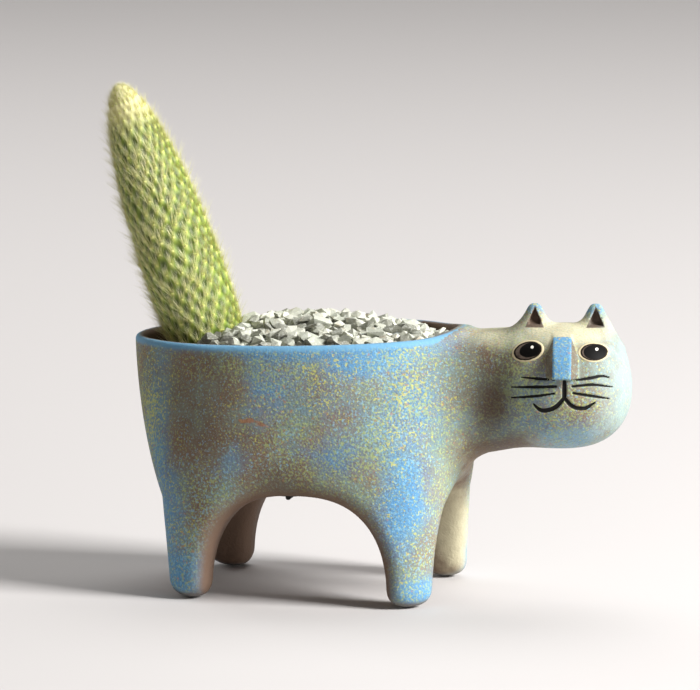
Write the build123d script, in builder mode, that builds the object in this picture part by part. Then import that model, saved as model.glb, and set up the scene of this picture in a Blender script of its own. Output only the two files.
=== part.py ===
from build123d import *
import os
import random
from math import ceil, copysign, cos, hypot, pi, radians, sin, sqrt

# A cat-shaped planter: an oval tub on four legs, with a neck and a turned head cast in one piece.
# Sizes are in millimetres and angles in degrees. X runs from the tail to the head, Y to the cat's
# left side and Z up. The origin is on the table, under the middle of the whole figure.

# Tub
TUB_X = -33.5  # middle of the tub's rim along the figure
RIM_HEIGHT = 124.4  # at the middle of the tub
RIM_TILT = 2.3  # the rim climbs towards the head
RIM_LENGTH = 163.0
RIM_WIDTH = 92.0
RIM_SQUARENESS = 2.05  # 2 is an ellipse, more is boxier
HIP_HEIGHT = 47.0  # the sides swell out from here down to the legs
HIP_REAR = 62.5  # reach of the haunches behind the tub's middle
HIP_FRONT = 78.0  # reach of the shoulders ahead of the tub's middle
HIP_WIDTH = 106.0
HIP_SQUARENESS = 4.4
END_SWELL = 4.4  # how far the ends bulge between hips and rim
SIDE_SWELL = 1.0
WALL = 5.0
FLOOR = 5.0  # thickness over the crown of the arches
FLOOR_ROUND = 8.0

# Legs
FOOT_REAR = 57.4  # reach of the hind feet behind the tub's middle
FOOT_FRONT = 75.6  # reach of the fore feet ahead of it
FOOT_SQUARENESS = 5.4
FOOT_ROUND = 4.0  # height of the rounding at the foot of each leg
FOOT_EASE = 2.4  # how far the sole draws in there
LEG_LENGTH = 22.8  # of each leg at the table, along the figure
LEG_WIDTH = 22.5
ARCH_HEIGHT = 52.0  # crown of the arches between the legs
ARCH_POWER = 2.6

# Neck
NECK_REACH = 12.5  # waist of the neck, ahead of the rim
NECK_WIDTH = 50.0
NECK_DEPTH = 59.3
NECK_RISE = 5.1  # top of the neck above the middle of the rim
NECK_SQUARENESS = 2.4
CHEST_REACH = 36.0  # how far the neck's root runs back into the tub
CHEST_FLARE = 11.0
CHEST_DROP = 20.0
NAPE_SLOPE = 0.1  # fall of the neck's top towards the tub, per length

# Head
HEAD_REACH = 50.2  # middle of the head, ahead of the rim
HEAD_Y = -4.0
HEAD_DROP = 20.5  # middle of the head below the middle of the rim
HEAD_WIDTH = 62.0
HEAD_DEPTH = 54.0
HEAD_HEIGHT = 60.4
HEAD_TURN = 11.0  # the face looks to the cat's right, this much short of square
HEAD_POWER = 2.6
HEAD_SQUARENESS = 2.3
EAR_SPACING = 29.0
EAR_WIDTH = 27.0
EAR_DEPTH = 16.0
EAR_TIP = 39.0  # above the head's middle
EAR_SEAT = 19.0  # root of the ears above the head's middle
EAR_TIP_SHARE = 0.2
EAR_HOLLOW_WIDTH = 7.2
EAR_HOLLOW_HEIGHT = 8.2
EAR_HOLLOW_TOP = 1.4  # below the ear's tip
EAR_HOLLOW_DEPTH = 3.0
NOSE_WIDTH = 9.6
NOSE_LENGTH = 20.5
NOSE_PROUD = 1.2
NOSE_TAPER = 14.0
NOSE_ROOT = 8.0
NOSE_MIDDLE = 16.4  # above the head's middle
NOSE_SLOPE = 26.0  # the nose leans back with the brow

# Drain
DRAIN_X = -5.4  # from the tub's middle
DRAIN_RADIUS = 7.0
DRAIN_BOSS_RADIUS = 13.0
DRAIN_LENGTH = 10.0  # from the inside floor to the flat ring that the plug closes on
PLUG_CLEARANCE = 0.05
PLUG_FLANGE_RADIUS = 10.5
PLUG_FLANGE = 1.8
PLUG_LEAD_IN = 0.8
PLUG_STOP_SHORT = 0.6  # the plug ends this much below the inside floor
TAB_WIDTH = 9.0
TAB_THICKNESS = 2.6
TAB_DROP = 2.8
TAB_ROUND = 1.2
SCREEN_RADIUS = 15.0
SCREEN_THICKNESS = 1.4
SCREEN_HOLE = 1.5
SCREEN_PITCH = 2.4
SCREEN_BORDER = 2.0

# Filling
FILL_CLEARANCE = 0.3
SOIL_DEPTH = 7.0  # soil below the rim
MOUND_RISE = 4.6  # crown of the gravel above the rim
MOUND_X = 6.0  # crown ahead of the tub's middle
MOUND_RADIUS_ACROSS = 110.0
MOUND_RADIUS_ALONG = 230.0
MOUND_SWEEP = 24.0  # half the turn that the mound's section makes along the tub
BED_REAR = -46.0  # the gravel stops here, behind the tub's middle
CHIP_PITCH = 6.5
CHIP_SIZE = 6.2  # across its corners
CHIP_CORNERS = 10
CHIP_FLATNESS = 0.62
CHIP_SEAT = 0.08
CHIP_EDGE = 4.0  # from a chip's middle to the gravel's edge
CHIP_SEED = 11
PALE_SHARE = 0.6
GOLDEN_TURN = 2.4  # radians between one corner of a chip and the next

# Cactus
CACTUS_X = -44.4  # where it leaves the soil, from the tub's middle
CACTUS_LEAN = 20.0  # backwards
STEM_RADIUS = 15.6
STEM_HEIGHT = 133.0  # tip above the soil, along the stem
STEM_STRAIGHT = 30.0  # it tapers from here on
STEM_BURIED = 14.0
TIP_TURN = 86.0  # of the taper's quarter ellipse, where the tip is cut flat
TIP_DIRECTION = (-1, 0.45)
ROOT_RADIUS = 21.0
ROOT_FOOT_RADIUS = 16.0
ROOT_LENGTH = 32.0
ROOT_SHOULDER = 11.0
ROOT_ROUND = 4.5
SKIN_GAP = 0.05
SKIN = 1.6
SKIN_START = 7.0
SKIN_CLOSE = 72.0  # the skin stops short of the woolly tip, in degrees of the taper's arc
SKIN_STEP = 9.0  # the skin is a stack of cones, one for each step of that arc
SKIN_BOW = 0.35  # how far the stem's curve stands out past the cones' straight sides
SPINE_START = 17.0
SPINE_END = 122.0
SPINE_PITCH = 5.0
SPINES_ROUND = 18
SPINE_LENGTH = 6.6
SPINE_RISE = 25.0  # angle off the skin
SPINE_THICKNESS = 0.6
SPINE_SUNK = 0.55
CHIP_CLEAR_OF_STEM = 3.4

os.makedirs("parts", exist_ok=True)

floor_height = ARCH_HEIGHT + FLOOR
arch_length = FOOT_REAR + FOOT_FRONT - 2 * LEG_LENGTH
arch_x = (FOOT_FRONT - FOOT_REAR) / 2
arch_width = HIP_WIDTH - 2 * LEG_WIDTH
neck_x = RIM_LENGTH / 2 + NECK_REACH
neck_top = RIM_HEIGHT + NECK_RISE
neck_under = neck_top - NECK_DEPTH
head_x = RIM_LENGTH / 2 + HEAD_REACH
head_height = RIM_HEIGHT - HEAD_DROP

tub_middle = Vector(TUB_X, 0, RIM_HEIGHT)
rim_along = Vector(cos(radians(RIM_TILT)), 0, sin(radians(RIM_TILT)))
rim_up = Vector(-sin(radians(RIM_TILT)), 0, cos(radians(RIM_TILT)))
rim = Plane(origin=tub_middle, x_dir=rim_along, z_dir=rim_up)
soil = rim.offset(-SOIL_DEPTH)

stem_up = Vector(-sin(radians(CACTUS_LEAN)), 0, cos(radians(CACTUS_LEAN)))
stem_side = Vector(cos(radians(CACTUS_LEAN)), 0, sin(radians(CACTUS_LEAN)))
stem_foot = soil.from_local_coords(Vector(CACTUS_X, 0, 0))
stem_frame = Plane(origin=stem_foot, x_dir=stem_side, z_dir=stem_up)
stem_profile = Plane(origin=stem_foot, x_dir=stem_side, z_dir=(0, -1, 0))
stem_axis = Axis(stem_foot, stem_up)

head_across = Vector(cos(radians(HEAD_TURN)), sin(radians(HEAD_TURN)), 0)
face_out = Vector(sin(radians(HEAD_TURN)), -cos(radians(HEAD_TURN)), 0)
head = Plane(origin=(TUB_X + head_x, HEAD_Y, head_height), x_dir=head_across, z_dir=(0, 0, 1))


def superellipse(middle_x, middle_y, half_x, half_y, power):
    """Points round a rounded oval: power 2 is an ellipse, more is boxier."""
    points = []
    for step in range(24):
        turn = 2 * pi * step / 24
        across = copysign(abs(cos(turn)) ** (2 / power), cos(turn))
        along = copysign(abs(sin(turn)) ** (2 / power), sin(turn))
        points.append((middle_x + half_x * across, middle_y + half_y * along))
    return points


def blend(start, end, share):
    """The value at a share of the way from start to end."""
    return start + (end - start) * share


def body_outline(height, inset):
    """Points round the cat's body at a height, from the feet to the rim, drawn in by an inset."""
    if height < HIP_HEIGHT:
        share = height / HIP_HEIGHT
        rear = blend(FOOT_REAR, HIP_REAR, share)
        front = blend(FOOT_FRONT, HIP_FRONT, share)
        half_width = HIP_WIDTH / 2
        power = blend(FOOT_SQUARENESS, HIP_SQUARENESS, share)
    else:
        share = (height - HIP_HEIGHT) / (RIM_HEIGHT - HIP_HEIGHT)
        swell = 4 * share * (1 - share)
        rear = blend(HIP_REAR, RIM_LENGTH / 2, share) + END_SWELL * swell
        front = blend(HIP_FRONT, RIM_LENGTH / 2, share) + END_SWELL * swell
        half_width = blend(HIP_WIDTH, RIM_WIDTH, share) / 2 + SIDE_SWELL * swell
        power = blend(RIM_SQUARENESS, HIP_SQUARENESS, (1 - share) ** 2)
    half_length = (front + rear) / 2 - inset
    return superellipse((front - rear) / 2, 0, half_length, half_width - inset, power)


def body_loft(levels, inset, past_rim=0):
    """A body through the outlines at the given levels of height and extra inset, up to the rim or past it."""
    with BuildPart() as body:
        for height, drawn_in in levels:
            with BuildSketch(Plane(origin=(TUB_X, 0, height))):
                with BuildLine():
                    Spline(*body_outline(height, inset + drawn_in), periodic=True)
                make_face()
        with BuildSketch(rim):
            with BuildLine():
                Spline(*body_outline(RIM_HEIGHT, inset), periodic=True)
            make_face()
        loft()
        if past_rim:
            extrude(body.faces().sort_by(Axis.Z)[-1], amount=past_rim)
    return body.part


def outer_levels():
    """Levels of the body's outside, from the table to just under the rim."""
    levels = [(0, FOOT_EASE), (FOOT_ROUND, 0)]
    levels += [(HIP_HEIGHT * share, 0) for share in (0.33, 0.66, 1)]
    levels += [(blend(HIP_HEIGHT, RIM_HEIGHT, share), 0) for share in (0.2, 0.42, 0.64, 0.84)]
    return levels


def inner_levels():
    """Levels of a hollow with a rounded floor, from the floor to just under the rim."""
    levels = []
    for turn in (0, 25, 52, 90):
        drawn_in = FLOOR_ROUND * (1 - sin(radians(turn)))
        levels.append((floor_height + FLOOR_ROUND * (1 - cos(radians(turn))), drawn_in))
    levels += [(blend(floor_height + FLOOR_ROUND, RIM_HEIGHT, share), 0) for share in (0.3, 0.58, 0.84)]
    return levels


def arch_body(span, place, length):
    """A tunnel under the belly, with an arch of the given span, running both ways from a plane."""
    with BuildPart() as arch:
        with BuildSketch(place):
            with BuildLine():
                outline = superellipse(0, 0, span / 2, ARCH_HEIGHT, ARCH_POWER)
                crown = Spline(*outline[:13], tangents=[(0, 1), (0, -1)])
                Polyline(crown @ 1, (-span / 2, -FOOT_ROUND), (span / 2, -FOOT_ROUND), crown @ 0)
            make_face()
        extrude(amount=length, both=True)
    return arch.part


def neck_body():
    """The neck, flaring back and down into the chest and running on into the head."""
    with BuildPart() as neck:
        for behind in (CHEST_REACH, 0.6 * CHEST_REACH, 0.28 * CHEST_REACH, 0, neck_x - head_x):
            flare = max(behind, 0) / CHEST_REACH
            half_width = NECK_WIDTH / 2 + CHEST_FLARE * flare**1.5
            under = neck_under - CHEST_DROP * flare**1.1 + max(-behind, 0) * NAPE_SLOPE
            over = neck_top - NAPE_SLOPE * behind
            middle_y = HEAD_Y * (1 - (behind + head_x - neck_x) / (CHEST_REACH + head_x - neck_x))
            station = (TUB_X + neck_x - behind, middle_y, (over + under) / 2)
            with BuildSketch(Plane(origin=station, x_dir=(0, 1, 0), z_dir=(1, 0, 0))):
                with BuildLine():
                    outline = superellipse(0, 0, half_width, (over - under) / 2, NECK_SQUARENESS)
                    Spline(*outline, periodic=True)
                make_face()
        loft()
    return neck.part


def head_body():
    """The head: an upright rounded block, boxier than an egg."""
    with BuildPart() as block:
        for turn in (-84, -65, -44, -22, 0, 22, 44, 65, 84):
            rise = copysign(abs(sin(radians(turn))) ** (2 / HEAD_POWER), turn)
            share = cos(radians(turn)) ** (2 / HEAD_POWER)
            outline = superellipse(0, 0, HEAD_WIDTH / 2 * share, HEAD_DEPTH / 2 * share, HEAD_SQUARENESS)
            with BuildSketch(head.offset(rise * HEAD_HEIGHT / 2)):
                with BuildLine():
                    Spline(*outline, periodic=True)
                make_face()
        loft()
    return block.part


def ear_body(side):
    """A pointed ear with a blunt tip and a three-cornered hollow in front."""
    middle = side * EAR_SPACING / 2
    with BuildPart() as ear:
        for share in (0, 0.5, 0.85, 1):
            left = (1 - share) ** 0.75 + EAR_TIP_SHARE * share
            with BuildSketch(head.offset(EAR_SEAT + (EAR_TIP - EAR_SEAT) * share)):
                with Locations((middle, 0)):
                    Ellipse(EAR_WIDTH / 2 * left, EAR_DEPTH / 2 * left)
        loft()
        hollow_foot = EAR_TIP - EAR_HOLLOW_TOP - EAR_HOLLOW_HEIGHT
        front = head.from_local_coords(Vector(middle, -EAR_DEPTH / 2, hollow_foot))
        with BuildSketch(Plane(origin=front, x_dir=head_across, z_dir=face_out)):
            with BuildLine():
                Polyline(
                    (-EAR_HOLLOW_WIDTH / 2, 0), (EAR_HOLLOW_WIDTH / 2, 0), (0, EAR_HOLLOW_HEIGHT), close=True
                )
            make_face()
        extrude(amount=-EAR_HOLLOW_DEPTH - EAR_DEPTH * 0.18, mode=Mode.SUBTRACT)
    return ear.part


def nose_body():
    """A straight raised nose that leans back with the brow and ends squarely at the muzzle."""
    rise = NOSE_MIDDLE / (HEAD_HEIGHT / 2)
    out = HEAD_DEPTH / 2 * (1 - rise**HEAD_POWER) ** (1 / HEAD_POWER) + NOSE_PROUD
    bridge = head.from_local_coords(Vector(0, -out, NOSE_MIDDLE))
    lean = radians(NOSE_SLOPE)
    outwards = face_out * cos(lean) + Vector(0, 0, sin(lean))
    with BuildPart() as nose:
        with BuildSketch(Plane(origin=bridge, x_dir=head_across, z_dir=outwards)):
            Rectangle(NOSE_WIDTH, NOSE_LENGTH)
        extrude(amount=-NOSE_ROOT, taper=-NOSE_TAPER)
    return nose.part


def stem_outline(extra, turns):
    """Radius and height of points on the stem's tapering side, grown by an extra thickness."""
    reach = STEM_RADIUS + extra
    taper = STEM_HEIGHT - STEM_STRAIGHT + extra
    return [(reach * cos(radians(turn)), STEM_STRAIGHT + taper * sin(radians(turn))) for turn in turns]


def mound_height(x, y):
    """Top of the gravel bed over the rim's plane, at a point of that plane."""
    across = MOUND_RADIUS_ALONG - MOUND_RADIUS_ACROSS + sqrt(MOUND_RADIUS_ACROSS**2 - y**2)
    return MOUND_RISE - MOUND_RADIUS_ALONG + sqrt(across**2 - (x - MOUND_X) ** 2)


# Planter shell: tub, legs, neck and head in one casting, with the drain hole through its floor
cavity = body_loft(inner_levels(), WALL, 2 * MOUND_RISE)
drain_seat = Plane(origin=(TUB_X + DRAIN_X, 0, floor_height - DRAIN_LENGTH))
with BuildPart() as planter_shell:
    add(body_loft(outer_levels(), 0))
    across = Plane(origin=(TUB_X + arch_x, 0, 0), x_dir=(1, 0, 0), z_dir=(0, -1, 0))
    add(arch_body(arch_length, across, HIP_WIDTH), mode=Mode.SUBTRACT)
    along = Plane(origin=(TUB_X, 0, 0), x_dir=(0, 1, 0), z_dir=(1, 0, 0))
    add(arch_body(arch_width, along, RIM_LENGTH), mode=Mode.SUBTRACT)
    with BuildSketch(drain_seat):
        Circle(DRAIN_BOSS_RADIUS)
    extrude(amount=DRAIN_LENGTH)
    add(neck_body())
    add(head_body())
    for side in (-1, 1):
        add(ear_body(side))
    add(nose_body())
    add(cavity, mode=Mode.SUBTRACT)
    with BuildSketch(drain_seat):
        Circle(DRAIN_RADIUS)
    extrude(amount=DRAIN_LENGTH, mode=Mode.SUBTRACT)
planter_shell.part.label = "planter_shell"
export_step(planter_shell.part, "parts/planter_shell.step")

# Drain plug: a rubber bung with a flange under the belly and a pull tab
with BuildPart() as drain_plug:
    with BuildSketch(drain_seat):
        Circle(DRAIN_RADIUS - PLUG_CLEARANCE)
    extrude(amount=DRAIN_LENGTH - PLUG_STOP_SHORT)
    chamfer(drain_plug.faces().sort_by(Axis.Z)[-1].edges(), length=PLUG_LEAD_IN)
    with BuildSketch(drain_seat):
        Circle(PLUG_FLANGE_RADIUS)
    extrude(amount=-PLUG_FLANGE)
    with BuildSketch(drain_seat.offset(-PLUG_FLANGE)):
        Rectangle(TAB_THICKNESS, TAB_WIDTH)
    extrude(amount=-TAB_DROP)
    fillet(drain_plug.faces().sort_by(Axis.Z)[0].edges().filter_by(Axis.Y), radius=TAB_ROUND)
drain_plug.part.label = "drain_plug"
export_step(drain_plug.part, "parts/drain_plug.step")

# Drain screen: a perforated disc on the inside floor
with BuildPart() as drain_screen:
    with BuildSketch(Plane(origin=(TUB_X + DRAIN_X, 0, floor_height))):
        Circle(SCREEN_RADIUS)
        holes_across = 2 * ceil(SCREEN_RADIUS / SCREEN_PITCH) + 1
        open_radius = SCREEN_RADIUS - SCREEN_BORDER - SCREEN_HOLE * 0.75
        with GridLocations(SCREEN_PITCH, SCREEN_PITCH, holes_across, holes_across) as grid:
            inside = [place for place in grid.local_locations if place.position.length < open_radius]
        with Locations(*inside):
            Rectangle(SCREEN_HOLE, SCREEN_HOLE, mode=Mode.SUBTRACT)
    extrude(amount=SCREEN_THICKNESS)
drain_screen.part.label = "drain_screen"
export_step(drain_screen.part, "parts/drain_screen.step")

# Cactus stem: a straight column that tapers to a rounded tip and ends below the soil
with BuildPart() as cactus_stem:
    side = stem_outline(0, (0, 18, 36, 52, 66, 78, TIP_TURN))
    with BuildSketch(stem_profile):
        with BuildLine():
            Spline(*side, tangents=[(0, 1), TIP_DIRECTION])
            Polyline(side[-1], (0, side[-1][1]), (0, -STEM_BURIED), (STEM_RADIUS, -STEM_BURIED), side[0])
        make_face()
    revolve(axis=stem_axis)
cactus_stem.part.label = "cactus_stem"
export_step(cactus_stem.part, "parts/cactus_stem.step")


def root_ball_body(extra):
    """The rooted lump under the stem, grown all round by an extra clearance."""
    top = -STEM_BURIED
    bottom = -STEM_BURIED - ROOT_LENGTH - extra
    with BuildPart() as ball:
        with BuildSketch(stem_profile):
            with BuildLine():
                FilletPolyline(
                    (0, top),
                    (STEM_RADIUS + extra, top),
                    (ROOT_RADIUS + extra, top - ROOT_SHOULDER),
                    (ROOT_FOOT_RADIUS + extra, bottom),
                    (0, bottom),
                    radius=ROOT_ROUND,
                )
                Line((0, bottom), (0, top))
            make_face()
        revolve(axis=stem_axis)
    return ball.part


with BuildPart() as cactus_root_ball:
    add(root_ball_body(0))
cactus_root_ball.part.label = "cactus_root_ball"
export_step(cactus_root_ball.part, "parts/cactus_root_ball.step")

# Potting mix: fills the tub up to the soil line, around the root ball and over the screen
with BuildPart() as fill:
    with Locations((0, 0, FILL_CLEARANCE)):
        add(body_loft(inner_levels(), WALL + FILL_CLEARANCE, 2 * MOUND_RISE))
with BuildPart() as stem_hole:
    with BuildSketch(stem_frame.offset(-STEM_BURIED)):
        Circle(STEM_RADIUS + FILL_CLEARANCE)
    extrude(amount=STEM_BURIED + STEM_STRAIGHT)
with BuildPart() as potting_mix:
    add(fill.part)
    split(bisect_by=soil, keep=Keep.BOTTOM)
    add(root_ball_body(FILL_CLEARANCE), mode=Mode.SUBTRACT)
    add(stem_hole.part, mode=Mode.SUBTRACT)
    with BuildSketch(Plane(origin=(TUB_X + DRAIN_X, 0, floor_height))):
        Circle(SCREEN_RADIUS + FILL_CLEARANCE)
    extrude(amount=SCREEN_THICKNESS, mode=Mode.SUBTRACT)
potting_mix.part.label = "potting_mix"
export_step(potting_mix.part, "parts/potting_mix.step")

# Gravel bed: the lower layers of the top dressing, mounded above the rim
mound_pivot = rim.from_local_coords(Vector(MOUND_X, 0, MOUND_RISE - MOUND_RADIUS_ALONG))
start_up = rim_up * cos(radians(MOUND_SWEEP)) - rim_along * sin(radians(MOUND_SWEEP))
start_along = rim_along * cos(radians(MOUND_SWEEP)) + rim_up * sin(radians(MOUND_SWEEP))
mound_start = Plane(origin=mound_pivot + start_up * MOUND_RADIUS_ALONG, x_dir=(0, 1, 0), z_dir=start_along)
half_rim = RIM_WIDTH / 2
mound_drop = MOUND_RADIUS_ACROSS - sqrt(MOUND_RADIUS_ACROSS**2 - half_rim**2)
mound_foot = -mound_drop - 3 * SOIL_DEPTH
with BuildPart() as mound:
    with BuildSketch(mound_start):
        with BuildLine():
            ThreePointArc((-half_rim, -mound_drop), (0, 0), (half_rim, -mound_drop))
            Polyline(
                (half_rim, -mound_drop),
                (half_rim, mound_foot),
                (-half_rim, mound_foot),
                (-half_rim, -mound_drop),
            )
        make_face()
    revolve(axis=Axis(mound_pivot, (0, 1, 0)), revolution_arc=2 * MOUND_SWEEP)

bed_rear = Plane(origin=rim.from_local_coords(Vector(BED_REAR, 0, 0)), x_dir=(0, 1, 0), z_dir=rim_along)
with BuildPart() as gravel_bed:
    add(fill.part)
    split(bisect_by=soil, keep=Keep.TOP)
    add(mound.part, mode=Mode.INTERSECT)
    split(bisect_by=bed_rear, keep=Keep.TOP)
    with BuildSketch(stem_frame.offset(-STEM_BURIED)):
        Circle(STEM_RADIUS + SKIN_GAP + SKIN + FILL_CLEARANCE)
    extrude(amount=STEM_BURIED + STEM_STRAIGHT, mode=Mode.SUBTRACT)
gravel_bed.part.label = "gravel_bed"
export_step(gravel_bed.part, "parts/gravel_bed.step")


def chip_corners(draw):
    """Corners of one angular chip about its middle, turned at random."""
    half = CHIP_SIZE / 2
    yaw = draw.uniform(0, 2 * pi)
    pitch = draw.uniform(-0.5, 0.5)
    slimness = draw.uniform(0.7, 1)
    corners = []
    for corner in range(CHIP_CORNERS):
        level = 1 - 2 * (corner + 0.5) / CHIP_CORNERS
        turn = corner * GOLDEN_TURN + draw.uniform(-0.5, 0.5)
        ring = sqrt(1 - level**2)
        point = Vector(ring * cos(turn), slimness * ring * sin(turn), CHIP_FLATNESS * level) * half
        point = point.rotate(Axis.X, pitch * 180 / pi).rotate(Axis.Z, yaw * 180 / pi)
        corners.append(point * draw.uniform(0.82, 1))
    return corners


def chip_places():
    """Middles of the chips on the rim's plane, in staggered rows inside the tub and clear of the stem."""
    half_length = RIM_LENGTH / 2 - WALL - CHIP_EDGE
    half_width = RIM_WIDTH / 2 - WALL - CHIP_EDGE
    keep_out = STEM_RADIUS + SKIN_GAP + SKIN + CHIP_CLEAR_OF_STEM
    row_step = CHIP_PITCH * sqrt(3) / 2
    places = []
    for row in range(-int(half_width / row_step), int(half_width / row_step) + 1):
        y = row * row_step
        stagger = CHIP_PITCH / 2 * (row % 2)
        for column in range(-int(half_length / CHIP_PITCH), int(half_length / CHIP_PITCH) + 1):
            x = column * CHIP_PITCH + stagger
            local = stem_frame.to_local_coords(rim.from_local_coords(Vector(x, y, mound_height(x, y))))
            inside = (x / half_length) ** 2 + (y / half_width) ** 2 < 1
            if inside and x > BED_REAR + CHIP_EDGE and hypot(local.X, local.Y) > keep_out:
                places.append((x, y))
    return places


# Gravel chips: the loose top layer, pale stones and grey ones mixed
draw = random.Random(CHIP_SEED)
pale_chips = []
grey_chips = []
for x, y in chip_places():
    corners = [corner + Vector(x, y, 0) for corner in chip_corners(draw)]
    lift = max(mound_height(corner.X, corner.Y) - corner.Z for corner in corners) + CHIP_SEAT
    chip = [rim.from_local_coords(corner + Vector(0, 0, lift)) for corner in corners]
    if draw.random() < PALE_SHARE:
        pale_chips.append(chip)
    else:
        grey_chips.append(chip)

with BuildPart() as gravel_chips_pale:
    add([ConvexPolyhedron(chip, mode=Mode.PRIVATE) for chip in pale_chips])
gravel_chips_pale.part.label = "gravel_chips_pale"
export_step(gravel_chips_pale.part, "parts/gravel_chips_pale.step")

with BuildPart() as gravel_chips_grey:
    add([ConvexPolyhedron(chip, mode=Mode.PRIVATE) for chip in grey_chips])
gravel_chips_grey.part.label = "gravel_chips_grey"
export_step(gravel_chips_grey.part, "parts/gravel_chips_grey.step")


def skin_point(height):
    """Radius of the skin's outside at a height, and the outward slope of its surface there."""
    radius = STEM_RADIUS + SKIN_GAP + SKIN
    taper = STEM_HEIGHT - STEM_STRAIGHT + SKIN_GAP + SKIN
    climb = max(height - STEM_STRAIGHT, 0) / taper
    reach = radius * sqrt(1 - climb**2)
    steep = Vector(reach / radius**2, climb / taper, 0).normalized()
    return reach, steep


def spine_corners(height, turn):
    """Corners of one three-sided spine that lies up the stem and stands a little off it."""
    reach, steep = skin_point(height)
    outwards = Vector(steep.X * cos(turn), steep.X * sin(turn), steep.Y)
    upwards = Vector(-steep.Y * cos(turn), -steep.Y * sin(turn), steep.X)
    sideways = Vector(-sin(turn), cos(turn), 0)
    rise = radians(SPINE_RISE)
    along = upwards * cos(rise) + outwards * sin(rise)
    flank = outwards * cos(rise) - upwards * sin(rise)
    seat = Vector(reach * cos(turn), reach * sin(turn), height) - outwards * SPINE_SUNK
    corners = [seat + along * SPINE_LENGTH]
    for third in range(3):
        angle = 2 * pi * third / 3
        corners.append(seat + (flank * cos(angle) + sideways * sin(angle)) * SPINE_THICKNESS)
    return [stem_frame.from_local_coords(corner) for corner in corners]


# Cactus spines: rows of bristles fused to the outer skin that they grow from
spines = []
spine_rows = int((SPINE_END - SPINE_START) / SPINE_PITCH) + 1
for row in range(spine_rows):
    for step in range(SPINES_ROUND):
        turn = 2 * pi * (step + 0.5 * (row % 2)) / SPINES_ROUND
        spines.append(ConvexPolyhedron(spine_corners(SPINE_START + row * SPINE_PITCH, turn)))
with BuildPart() as cactus_spines:
    steps = [SKIN_STEP * step for step in range(int(SKIN_CLOSE / SKIN_STEP) + 1)]
    inside = stem_outline(SKIN_GAP + SKIN_BOW, steps)
    outside = stem_outline(SKIN_GAP + SKIN, steps)
    with BuildSketch(stem_profile):
        with BuildLine():
            Polyline(
                (inside[0][0], SKIN_START), *inside, *outside[::-1], (outside[0][0], SKIN_START), close=True
            )
        make_face()
    revolve(axis=stem_axis)
    add(spines)
cactus_spines.part.label = "cactus_spines"
export_step(cactus_spines.part, "parts/cactus_spines.step")
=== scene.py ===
"""A cat-shaped planter with a cactus for a tail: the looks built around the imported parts."""

import logging
import math
from collections.abc import Callable, Sequence
from dataclasses import dataclass
from enum import Enum

import bmesh
import bpy
import numpy as np
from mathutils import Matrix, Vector


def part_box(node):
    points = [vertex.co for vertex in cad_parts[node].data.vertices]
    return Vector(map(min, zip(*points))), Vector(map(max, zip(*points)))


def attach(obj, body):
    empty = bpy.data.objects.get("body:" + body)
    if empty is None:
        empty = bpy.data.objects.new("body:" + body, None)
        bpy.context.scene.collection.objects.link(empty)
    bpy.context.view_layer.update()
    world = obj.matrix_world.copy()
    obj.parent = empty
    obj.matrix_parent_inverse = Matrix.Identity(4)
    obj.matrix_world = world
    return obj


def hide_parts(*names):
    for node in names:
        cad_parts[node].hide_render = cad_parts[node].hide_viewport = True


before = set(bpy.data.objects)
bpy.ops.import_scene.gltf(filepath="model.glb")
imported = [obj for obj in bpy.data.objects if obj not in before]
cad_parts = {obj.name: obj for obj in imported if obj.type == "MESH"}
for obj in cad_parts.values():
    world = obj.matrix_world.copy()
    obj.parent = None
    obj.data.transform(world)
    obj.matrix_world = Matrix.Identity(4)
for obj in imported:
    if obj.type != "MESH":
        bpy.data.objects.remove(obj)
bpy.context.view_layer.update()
LOG = logging.getLogger("cat_planter")
MM = 0.001
PLANTER_BODY = "planter"
FAR = 20.0  # millimetres, past every blend
SPIRAL = 2.4  # radians between neighbours on a spiral
Field = Callable[[np.ndarray], np.ndarray]
Place = tuple[float, float, float]
Stroke = tuple[Place, ...]  # stops of a drawn line: two coordinates and half its width


class Placing(Enum):
    """How scattered pieces are turned where they lie."""

    TUMBLED = "tumbled"
    GROWING = "growing"


class Spray(Enum):
    """What a patch of the clay's finish shows; some kinds also carry painted shade and painted light."""

    BLUE = "blue"
    BARE_AND_SHADED = "bare"
    FLECK = "fleck"
    PALE_AND_LIT = "pale"
    BROWN = "brown"


# Shapes and meshes


def ease(value: np.ndarray, low: float, high: float) -> np.ndarray:
    """0 up to low, 1 from high on, and a smooth step between."""
    share = np.clip((value - low) / (high - low), 0, 1)
    return share * share * (3 - 2 * share)


def smooth_min(first: np.ndarray, second: np.ndarray, reach: float) -> np.ndarray:
    """The lower of two fields, with the crease between them filled over a reach."""
    share = np.clip(0.5 + 0.5 * (second - first) / reach, 0, 1)
    return second + (first - second) * share - reach * share * (1 - share)


def smooth_max(first: np.ndarray, second: np.ndarray, reach: float) -> np.ndarray:
    """The higher of two fields, with the edge between them rounded over a reach."""
    return -smooth_min(-first, -second, reach)


def oval(
    x: np.ndarray,
    y: np.ndarray,
    half_x: np.ndarray | float,
    half_y: np.ndarray | float,
    power: np.ndarray | float,
) -> np.ndarray:
    """Distance to a rounded oval, negative inside.

    Args:
        x: Places along the first axis.
        y: Places along the second axis.
        half_x: Half the oval's length on the first axis.
        half_y: Half its length on the second axis.
        power: 2 for an ellipse, more for a boxier oval.

    Returns:
        The distance of each place from the oval's edge.
    """
    across = np.abs(x) / half_x
    along = np.abs(y) / half_y
    size = np.maximum((across**power + along**power) ** (1 / power), 1e-6)
    slope = np.hypot((across / size) ** (power - 1) / half_x, (along / size) ** (power - 1) / half_y)
    return (size - 1) / slope


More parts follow.
